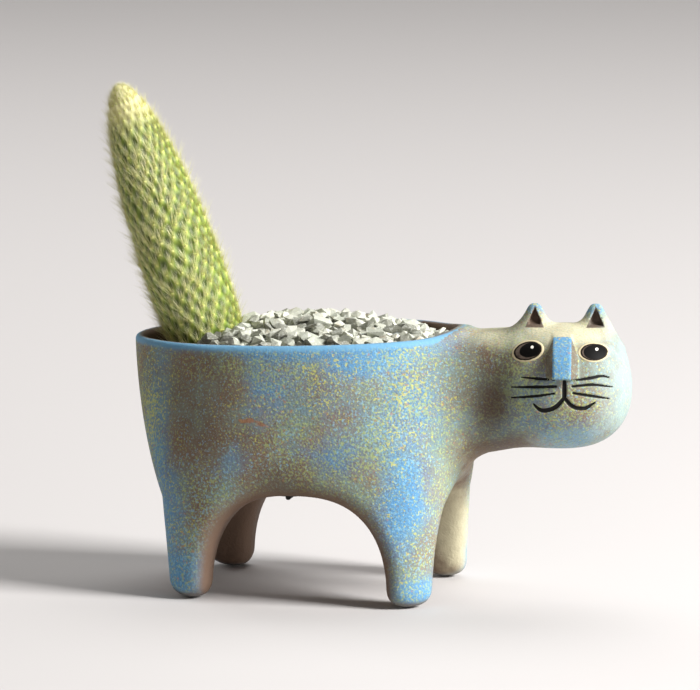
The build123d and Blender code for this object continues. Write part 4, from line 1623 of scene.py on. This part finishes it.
@dataclass
class CactusTail:
    """The columnar cactus: knobbed flesh in diagonal rows, each knob with a tuft of bristles."""

    foot: Place = (-78.5, 0.0, 115.62)
    lean: float = 20.0
    radius: float = 19.0
    foot_narrowing: float = 0.09
    height: float = 133.2
    straight: float = 30.0
    buried: float = 14.0
    row_pitch: float = 5.0
    knobs_round: int = 18
    foot_rows: int = 60
    knob_height: float = 0.85
    least_knob: float = 0.1
    knob_swell: float = 1.6
    knob_sink: float = 1.1
    wool_from: float = 34.0
    wool_full: float = 3.0
    unevenness: float = 0.75
    waves_along: tuple[tuple[int, float], ...] = ((3, 0.13), (2, -0.21))
    waves_around: tuple[tuple[int, float], ...] = ((2, 0.17), (3, -0.11))
    bristle_length: float = 10.5
    bristle_radius: float = 0.068
    bristles: int = 27
    lengths: tuple[float, float] = (0.6, 1.05)
    roots_x: tuple[float, float] = (-1.4, 1.0)
    roots_y: tuple[float, float] = (-1.4, 1.4)
    root_sunk: float = 0.5
    root_tone: float = 0.25
    pad_sides: int = 6
    pad_half: tuple[float, float] = (1.1, 1.25)
    pad_sunk: float = 0.4
    pad_top: Place = (0.3, 0.0, 0.6)
    flat_share: float = 0.75
    flat_rises: tuple[float, float] = (3.0, 24.0)
    steep_rises: tuple[float, float] = (24.0, 50.0)
    swing: float = 13.0
    tuft_sizes: tuple[float, float] = (0.85, 1.15)
    tuft_sway: float = 0.13
    tuft_seat: float = 0.4
    tip_growth: float = 0.22
    tuft_kinds: int = 8
    crown_tufts: int = 46
    crown_depth: float = 7.0
    rows_stop: float = 6.0
    tip_gap: float = 0.1
    seed: int = 7

    def reach(self, height: np.ndarray) -> np.ndarray:
        """Radius of the flesh at heights along the stem.

        Args:
            height: Heights over the foot of the stem.

        Returns:
            Radii in millimetres.
        """
        climb = np.clip((height - self.straight) / (self.height - self.straight), 0, 1)
        low = np.clip(1 - height / self.straight, 0, 1)
        return self.radius * np.sqrt(1 - climb**2) * (1 - self.foot_narrowing * low**2)

    def warp(self, height: np.ndarray, turn: np.ndarray) -> tuple[np.ndarray, np.ndarray]:
        """How far the knobs are drawn out of their even rows, along and around.

        Args:
            height: Heights over the foot of the stem.
            turn: Angles round the stem in radians.

        Returns:
            Shifts along the stem in millimetres, and round it in radians.
        """
        along = sum(np.sin(count * turn + height * pace) for count, pace in self.waves_along)
        around = sum(np.sin(count * turn + height * pace) for count, pace in self.waves_around)
        return self.unevenness * along, self.unevenness / self.radius * around

    def upright(self, points: np.ndarray) -> np.ndarray:
        """Turns points or vectors from the stem's own axes to those of the part.

        Args:
            points: Rows of three values on the stem's own axes.

        Returns:
            Rows of three values on the part's axes.
        """
        lean = math.radians(self.lean)
        x = points[:, 0] * math.cos(lean) - points[:, 2] * math.sin(lean)
        z = points[:, 0] * math.sin(lean) + points[:, 2] * math.cos(lean)
        return np.stack([x, points[:, 1], z], 1)

    def knobs(self, height: np.ndarray, turn: np.ndarray) -> np.ndarray:
        """Height of the knobs' pattern.

        Args:
            height: Heights over the foot of the stem.
            turn: Angles round the stem in radians.

        Returns:
            0 between the knobs, rising to 1 on top of them.
        """
        shift, twist = self.warp(height, turn)
        around = self.knobs_round * (turn + twist) / (2 * math.pi)
        along = (height + shift) / (2 * self.row_pitch)
        waves = np.cos(2 * math.pi * (around + along)) + np.cos(2 * math.pi * (around - along))
        return (waves + 2) / 4

    def build_flesh(self, rows: int = 170, around: int = 144) -> bpy.types.Object:
        """Makes the knobbed stem, closed at the tip and the buried end.

        Args:
            rows: Rings of points above the straight foot.
            around: Points round each ring.

        Returns:
            The dressed stem.
        """
        arc = np.sin(np.arange(rows) / rows * math.pi / 2)
        upper = self.straight + (self.height - self.straight) * arc
        levels = np.concatenate([np.linspace(-self.buried, self.straight, self.foot_rows)[:-1], upper])
        turn = np.arange(around) * 2 * math.pi / around
        height, angle = np.meshgrid(levels, turn, indexing="ij")
        height, angle = height.ravel(), angle.ravel()
        plain = self.reach(height)
        knob = self.knobs(height, angle)
        swell = self.knob_height * np.clip(plain / self.radius, self.least_knob, 1)
        radius = plain + swell * (knob * self.knob_swell - self.knob_sink)
        points = np.stack([radius * np.cos(angle), radius * np.sin(angle), height], 1)
        ends = np.array([[0, 0, -self.buried], [0, 0, self.height]])
        points = np.concatenate([points, ends])
        faces: list[tuple[int, ...]] = []
        for row in range(len(levels) - 1):
            for step in range(around):
                after = (step + 1) % around
                low, high = row * around, (row + 1) * around
                faces.append((low + step, low + after, high + after, high + step))
        last = (len(levels) - 1) * around
        for step in range(around):
            after = (step + 1) % around
            faces.append((len(points) - 2, after, step))
            faces.append((len(points) - 1, last + step, last + after))
        made = add_mesh("cactus_flesh", self.upright(points) + self.foot, faces)
        mark(made.data, "knob", np.concatenate([knob, [0, 1]]))
        wool_low, wool_high = self.height - self.wool_from, self.height - self.wool_full
        mark(made.data, "wool", ease(points[:, 2], wool_low, wool_high))
        made.data.materials.append(CactusSkin().make())
        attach(made, PLANTER_BODY)
        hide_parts("cactus_stem")
        return made

    def tuft(self, kind: int) -> bpy.types.Object:
        """Makes one small tuft of three-sided bristles that lean along +X, on a woolly pad.

        Args:
            kind: Number of the variant.

        Returns:
            The tuft, with its pad at the origin.
        """
        draw = np.random.default_rng(self.seed * 100 + kind)
        points: list[np.ndarray] = []
        faces: list[tuple[int, ...]] = []
        along: list[float] = []
        for _ in range(self.bristles):
            rises = self.flat_rises if draw.random() < self.flat_share else self.steep_rises
            rise = math.radians(draw.uniform(*rises))
            swing = math.radians(draw.normal(0, self.swing))
            flat = math.cos(rise)
            aim = np.array([flat * math.cos(swing), flat * math.sin(swing), math.sin(rise)])
            side = np.cross(aim, [0, 0, 1])
            side /= np.linalg.norm(side)
            lift = np.cross(side, aim)
            root = np.array([draw.uniform(*self.roots_x), draw.uniform(*self.roots_y), -self.root_sunk])
            first = len(points)
            for third in range(3):
                angle = 2 * math.pi * third / 3
                points.append(root + self.bristle_radius * (side * math.cos(angle) + lift * math.sin(angle)))
            points.append(root + aim * self.bristle_length * draw.uniform(*self.lengths))
            along += [self.root_tone, self.root_tone, self.root_tone, 1.0]
            faces += [(first, first + 1, first + 3), (first + 1, first + 2, first + 3)]
            faces += [(first + 2, first, first + 3), (first + 2, first + 1, first)]
        first = len(points)
        sides = self.pad_sides
        for step in range(sides):
            angle = 2 * math.pi * step / sides
            x, y = self.pad_half[0] * math.cos(angle), self.pad_half[1] * math.sin(angle)
            points.append(np.array([x, y, -self.pad_sunk]))
        points.append(np.array(self.pad_top))
        along += [0.0] * (sides + 1)
        faces += [(first + step, first + (step + 1) % sides, first + sides) for step in range(sides)]
        made = add_mesh(f"tuft_{kind}", np.array(points), faces, smooth=False)
        mark(made.data, "along", np.array(along))
        return made

    def build_bristles(self) -> bpy.types.Object:
        """Grows a tuft on every knob and a close crown of them on the tip.

        Returns:
            All bristles as one dressed piece.
        """
        draw = np.random.default_rng(self.seed)
        heights: list[float] = []
        turns: list[float] = []
        for row in range(1, int((self.height - self.rows_stop) / self.row_pitch) + 1):
            for step in range(self.knobs_round):
                heights.append(row * self.row_pitch)
                turns.append(2 * math.pi * (step + 0.5 * (row % 2)) / self.knobs_round)
        for step in range(self.crown_tufts):
            heights.append(self.height - self.crown_depth * (step + 0.5) / self.crown_tufts)
            turns.append(step * SPIRAL)
        height, turn = np.array(heights), np.array(turns)
        shift, twist = self.warp(height, turn)
        height, turn = np.minimum(height - shift, self.height - self.tip_gap), turn - twist
        radius = self.reach(height)
        taper = self.height - self.straight
        climb = np.clip(height - self.straight, 0, None) / taper
        steep = np.stack([radius / self.radius**2, climb / taper], 1)
        steep /= np.linalg.norm(steep, axis=1)[:, None]
        out = np.stack([steep[:, 0] * np.cos(turn), steep[:, 0] * np.sin(turn), steep[:, 1]], 1)
        up = np.stack([-steep[:, 1] * np.cos(turn), -steep[:, 1] * np.sin(turn), steep[:, 0]], 1)
        side = np.cross(out, up)
        up = up + side * draw.normal(0, self.tuft_sway, len(up))[:, None]
        seat = np.stack([radius * np.cos(turn), radius * np.sin(turn), height], 1)
        lift = self.knob_height * self.tuft_seat * np.clip(radius / self.radius, self.least_knob, 1)
        seat = seat + out * lift[:, None]
        growth = np.clip(self.tip_growth + radius / self.radius, 0, 1)
        carrier = carrier_mesh(
            "tuft_places",
            self.upright(seat) + self.foot,
            growth,
            out=self.upright(out),
            up=self.upright(up),
        )
        tufts = [self.tuft(kind) for kind in range(self.tuft_kinds)]
        scatter = Scatter("grow_tufts", Placing.GROWING)
        finish = CactusBristle().make()
        made = scatter.grow("cactus_bristles", carrier, tufts, self.tuft_sizes, self.seed, finish)
        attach(made, PLANTER_BODY)
        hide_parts("cactus_spines")
        return made

    def build(self) -> list[bpy.types.Object]:
        """Makes the flesh and the bristles."""
        return [self.build_flesh(), self.build_bristles()]


@dataclass(frozen=True)
class ChipLayer:
    """One layer of chips: their spacing and lift, the share kept and the range of their sizes."""

    pitch: float
    lift: float
    kept: float
    small: float
    large: float
    thins: bool = False


@dataclass
class TopDressing:
    """Crushed stone heaped in the tub, over potting soil that shows behind the cactus."""

    tub_x: float = -33.5
    rim_height: float = 124.4
    rim_tilt: float = 2.3
    half_length: float = 73.0
    half_width: float = 38.5
    bed_rear: float = -44.0
    mound_rise: float = 4.6
    mound_x: float = 6.0
    mound_across: float = 110.0
    mound_along: float = 230.0
    chip: float = 9.8
    chip_kinds: int = 10
    chip_corners: int = 9
    corner_turns: tuple[float, float] = (-0.6, 0.6)
    corner_widths: tuple[float, float] = (0.45, 0.9)
    corner_reaches: tuple[float, float] = (0.8, 1.05)
    chip_flatness: float = 0.52
    chip_sizes: tuple[float, float] = (0.85, 1.2)
    jitter: float = 0.3
    lifts: tuple[float, float] = (-0.4, 0.8)
    layers: tuple[ChipLayer, ...] = (
        ChipLayer(4.3, -0.6, 1.0, 0.38, 0.6),
        ChipLayer(6.0, 0.4, 1.0, 0.65, 1.25),
        ChipLayer(7.6, 2.6, 0.75, 0.65, 1.3, thins=True),
    )
    low_from: float = 12.0
    low_to: float = 48.0
    pale_share: float = 0.62
    cactus_x: float = -44.4
    cactus_gap: float = 20.4
    gap_shift: float = 2.0
    soil_depth: float = 7.0
    crumbs: int = 150
    crumb: float = 1.5
    crumb_draws: int = 4
    crumb_rear: float = 2.0
    crumb_front: float = 6.0
    crumb_inside: float = 0.98
    crumb_close: float = 3.0
    crumb_lifts: tuple[float, float] = (0.2, 0.9)
    crumb_growth: tuple[float, float] = (0.5, 1.4)
    crumb_first: int = 100
    crumb_kinds: int = 4
    crumb_flatness: float = 0.85
    crumb_sizes: tuple[float, float] = (0.7, 1.5)
    seed: int = 21

    def mound(self, x: np.ndarray, y: np.ndarray) -> np.ndarray:
        """Top of the gravel bed over the rim's plane."""
        across = self.mound_along - self.mound_across + np.sqrt(self.mound_across**2 - y**2)
        return self.mound_rise - self.mound_along + np.sqrt(across**2 - (x - self.mound_x) ** 2)

    def lifted(self, x: np.ndarray, y: np.ndarray, height: np.ndarray) -> np.ndarray:
        """Points of the part at places and heights over the rim's plane.

        Args:
            x: Places along the tub, from its middle.
            y: Places across it.
            height: Heights over the rim's plane.

        Returns:
            Rows of three coordinates in millimetres.
        """
        tilt = math.radians(self.rim_tilt)
        along = self.tub_x + x * math.cos(tilt) - height * math.sin(tilt)
        return np.stack([along, y, self.rim_height + x * math.sin(tilt) + height * math.cos(tilt)], 1)

    def chip_places(self) -> tuple[np.ndarray, np.ndarray]:
        """Middles of the chips and their growth, in jittered rows, layer on layer.

        Returns:
            One row of three coordinates, and one growth, for each chip.
        """
        draw = np.random.default_rng(self.seed)
        places, growth = [], []
        for layer in self.layers:
            pitch = layer.pitch
            step = pitch * math.sqrt(3) / 2
            rows, columns = int(self.half_width / step), int(self.half_length / pitch)
            for row in range(-rows, rows + 1):
                for column in range(-columns, columns + 1):
                    x = (column + 0.5 * (row % 2)) * pitch + draw.uniform(-self.jitter, self.jitter) * pitch
                    y = row * step + draw.uniform(-self.jitter, self.jitter) * pitch
                    inside = (x / self.half_length) ** 2 + (y / self.half_width) ** 2 < 1
                    clear = math.hypot(x - self.cactus_x + self.gap_shift, y) > self.cactus_gap
                    bare = min(max((x - self.low_from) / (self.low_to - self.low_from), 0), 1)
                    share = layer.kept - layer.kept * bare if layer.thins else layer.kept
                    if draw.random() < share and inside and clear and x > self.bed_rear:
                        places.append((x, y, layer.lift + draw.uniform(*self.lifts)))
                        growth.append(draw.uniform(layer.small, layer.large))
        x, y, lift = np.array(places).T
        return self.lifted(x, y, self.mound(x, y) + lift), np.array(growth)

    def stone(self, kind: int, size: float, flatness: float) -> bpy.types.Object:
        """Makes one angular lump: the hull of a few points scattered on an egg.

        Args:
            kind: Number of the variant.
            size: Its length in millimetres.
            flatness: Its height against its length.

        Returns:
            The lump, at the origin.
        """
        draw = np.random.default_rng(self.seed * 1000 + kind)
        grid = bmesh.new()
        for corner in range(self.chip_corners):
            level = 1 - 2 * (corner + 0.5) / self.chip_corners
            turn = corner * SPIRAL + draw.uniform(*self.corner_turns)
            ring = math.sqrt(1 - level**2)
            width = ring * math.sin(turn) * draw.uniform(*self.corner_widths)
            spot = Vector((ring * math.cos(turn), width, level * flatness))
            grid.verts.new(spot * (size / 2 * draw.uniform(*self.corner_reaches) * MM))
        bmesh.ops.convex_hull(grid, input=grid.verts)
        loose = [vert for vert in grid.verts if not vert.link_faces]
        bmesh.ops.delete(grid, geom=loose, context="VERTS")
        bmesh.ops.recalc_face_normals(grid, faces=grid.faces)
        name = f"stone_{kind}"
        mesh = bpy.data.meshes.new(name)
        grid.to_mesh(mesh)
        grid.free()
        return link(name, mesh)

    def build_chips(self) -> list[bpy.types.Object]:
        """Heaps the pale and the grey chips.

        Returns:
            The two dressed pieces.
        """
        places, growth = self.chip_places()
        pale = np.random.default_rng(self.seed + 1).random(len(places)) < self.pale_share
        scatter = Scatter("heap_chips", Placing.TUMBLED)
        finishes = (
            ("gravel_pale", "gravel_chips_pale", "pale_stone", pale,
             ChippedStone("pale_chips", "d9d8c9", "b2b5a6", "c0ae90")),
            ("gravel_grey", "gravel_chips_grey", "grey_stone", ~pale,
             ChippedStone("grey_chips", "b9baac", "77776b", "9a8768")),
        )
        made = []
        for name, node, slot, chosen, finish in finishes:
            kinds = [self.stone(kind, self.chip, self.chip_flatness) for kind in range(self.chip_kinds)]
            carrier = carrier_mesh(name + "_places", places[chosen], growth[chosen])
            piece = scatter.grow(name, carrier, kinds, self.chip_sizes, self.seed, finish.make())
            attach(piece, PLANTER_BODY)
            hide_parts(node)
            made.append(piece)
        return made

    def build_crumbs(self) -> bpy.types.Object:
        """Strews crumbs of soil behind the cactus and around its foot.

        Returns:
            All crumbs as one dressed piece.
        """
        draw = np.random.default_rng(self.seed + 2)
        count = self.crumb_draws * self.crumbs
        x = draw.uniform(-self.half_length + self.crumb_rear, self.bed_rear + self.crumb_front, count)
        y = draw.uniform(-self.half_width, self.half_width, count)
        inside = (x / self.half_length) ** 2 + (y / self.half_width) ** 2 < self.crumb_inside
        clear = np.hypot(x - self.cactus_x, y) > self.cactus_gap - self.crumb_close
        x, y = x[inside & clear][: self.crumbs], y[inside & clear][: self.crumbs]
        places = self.lifted(x, y, -self.soil_depth + draw.uniform(*self.crumb_lifts, len(x)))
        carrier = carrier_mesh("crumb_places", places, draw.uniform(*self.crumb_growth, len(x)))
        numbers = range(self.crumb_first, self.crumb_first + self.crumb_kinds)
        kinds = [self.stone(kind, self.crumb, self.crumb_flatness) for kind in numbers]
        scatter = Scatter("strew_crumbs", Placing.TUMBLED)
        made = scatter.grow("soil_crumbs", carrier, kinds, self.crumb_sizes, self.seed, PottingSoil().make())
        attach(made, PLANTER_BODY)
        return made

    def build(self) -> list[bpy.types.Object]:
        """Makes the chips and crumbs, and dresses the bed, the soil and the roots under them.

        Returns:
            The pieces, dressed and riding on the planter.
        """
        soil = PottingSoil().make()
        # The bed under the chips is darker grey, as painted shade in the gaps between them.
        bed = ChippedStone("shaded_gravel_underlayer", "8c928c", "4f5553", "7b7163").make()
        for node, finish in (("potting_mix", soil), ("cactus_root_ball", soil), ("gravel_bed", bed)):
            dress_node(node, finish)
        return [*self.build_chips(), self.build_crumbs()]


@dataclass
class DrainFittings:
    """The rubber bung under the belly and the screen over the drain hole."""

    rubber: MouldedPart = MouldedPart("black_rubber", "171614", "34302c", 0.72)
    screen: MouldedPart = MouldedPart("screen_plastic", "2b2d2a", "4a4a44", 0.55)

    def build(self) -> None:
        """Dresses both pieces."""
        dress_node("drain_plug", self.rubber.make())
        dress_node("drain_screen", self.screen.make())


@dataclass(frozen=True)
class Lamp:
    """A square soft light: place, side and target in metres, power in watts."""

    name: str
    place: Place
    size: float
    power: float
    target: Place = (0.0, 0.0, 0.12)


@dataclass
class Studio:
    """A pale floor, soft lights round the part and over the floor, and the camera."""

    azimuth: float = 13.8
    elevation: float = 9.6
    distance: float = 3733.0
    aim: Place = (-9.3, 0.0, 118.6)
    lens: float = 400.0
    floor_size: float = 14.0
    floor_paint: str = "cac6c4"
    floor_shade: str = "c5c1bf"
    sky: str = "efebe9"
    sky_strength: float = 0.13
    sensor: float = 36.0
    view_limit: float = 60.0
    lamps: tuple[Lamp, ...] = (
        Lamp("key_light", (2.18, -0.34, 1.4), 0.8, 140.0),
        Lamp("fill_light", (0.3, -2.4, 0.6), 1.6, 3.0),
        Lamp("top_light", (0.1, 1.3, 1.9), 1.6, 24.0, (0.1, 1.3, 0.0)),
        Lamp("rear_light", (-2.0, 1.2, 1.0), 1.2, 14.0),
        Lamp("low_light", (2.0, -0.2, 0.16), 0.3, 10.0, (0.0, 0.0, 0.03)),
    )

    def build_floor(self) -> None:
        """Lays the floor, with a faint unevenness in its finish."""
        half = self.floor_size / 2 / MM
        corners = np.array([(-half, -half, 0), (half, -half, 0), (half, half, 0), (-half, half, 0)])
        floor = add_mesh("studio_floor", corners, [(0, 1, 2, 3)], smooth=False)
        board = Board("studio_paint", self.floor_paint)
        cloud = board.noise(3, 2, 1.0)
        board.coat(cloud * 0.3, self.floor_shade)
        floor.data.materials.append(board.dress({"Roughness": 0.75 + cloud * 0.1}))

    def add_lamp(self, lamp: Lamp) -> None:
        """Hangs a lamp and points it at its target.

        Args:
            lamp: Its place, size, power and target.
        """
        light = bpy.data.lights.new(lamp.name, "AREA")
        light.size = lamp.size
        light.energy = lamp.power
        made = link(lamp.name, light)
        made.location = lamp.place
        aim = Vector(lamp.target) - made.location
        made.rotation_euler = aim.to_track_quat("-Z", "Y").to_euler()

    def build(self) -> None:
        """Sets the floor, the lights and the camera."""
        self.build_floor()
        for lamp in self.lamps:
            self.add_lamp(lamp)
        bpy.context.scene.view_settings.view_transform = "Standard"
        world = bpy.data.worlds.new("studio_sky")
        world.use_nodes = True
        sky = world.node_tree.nodes["Background"]
        sky.inputs[0].default_value = paint(self.sky)
        sky.inputs[1].default_value = self.sky_strength
        bpy.context.scene.world = world
        camera = bpy.data.cameras.new("camera")
        camera.lens = self.lens
        camera.sensor_width = self.sensor
        camera.clip_end = self.view_limit
        made = link("camera", camera)
        turn, rise = math.radians(self.azimuth), math.radians(self.elevation)
        back = Vector((math.sin(turn) * math.cos(rise), -math.cos(turn) * math.cos(rise), math.sin(rise)))
        made.location = (Vector(self.aim) + back * self.distance) * MM
        made.rotation_euler = (-back).to_track_quat("-Z", "Y").to_euler()
        bpy.context.scene.camera = made


def main() -> None:
    """Builds the drain, the planter, the cactus, the gravel and the studio in order."""
    logging.basicConfig(level=logging.INFO, format="%(name)s: %(message)s")
    DrainFittings().build()
    pieces = [*PlanterShell().build(), *CactusTail().build(), *TopDressing().build()]
    Studio().build()
    for piece in pieces:
        piece.data.calc_loop_triangles()
        LOG.info("%s: %d triangles", piece.name, len(piece.data.loop_triangles))


if __name__ == "__main__":
    main()
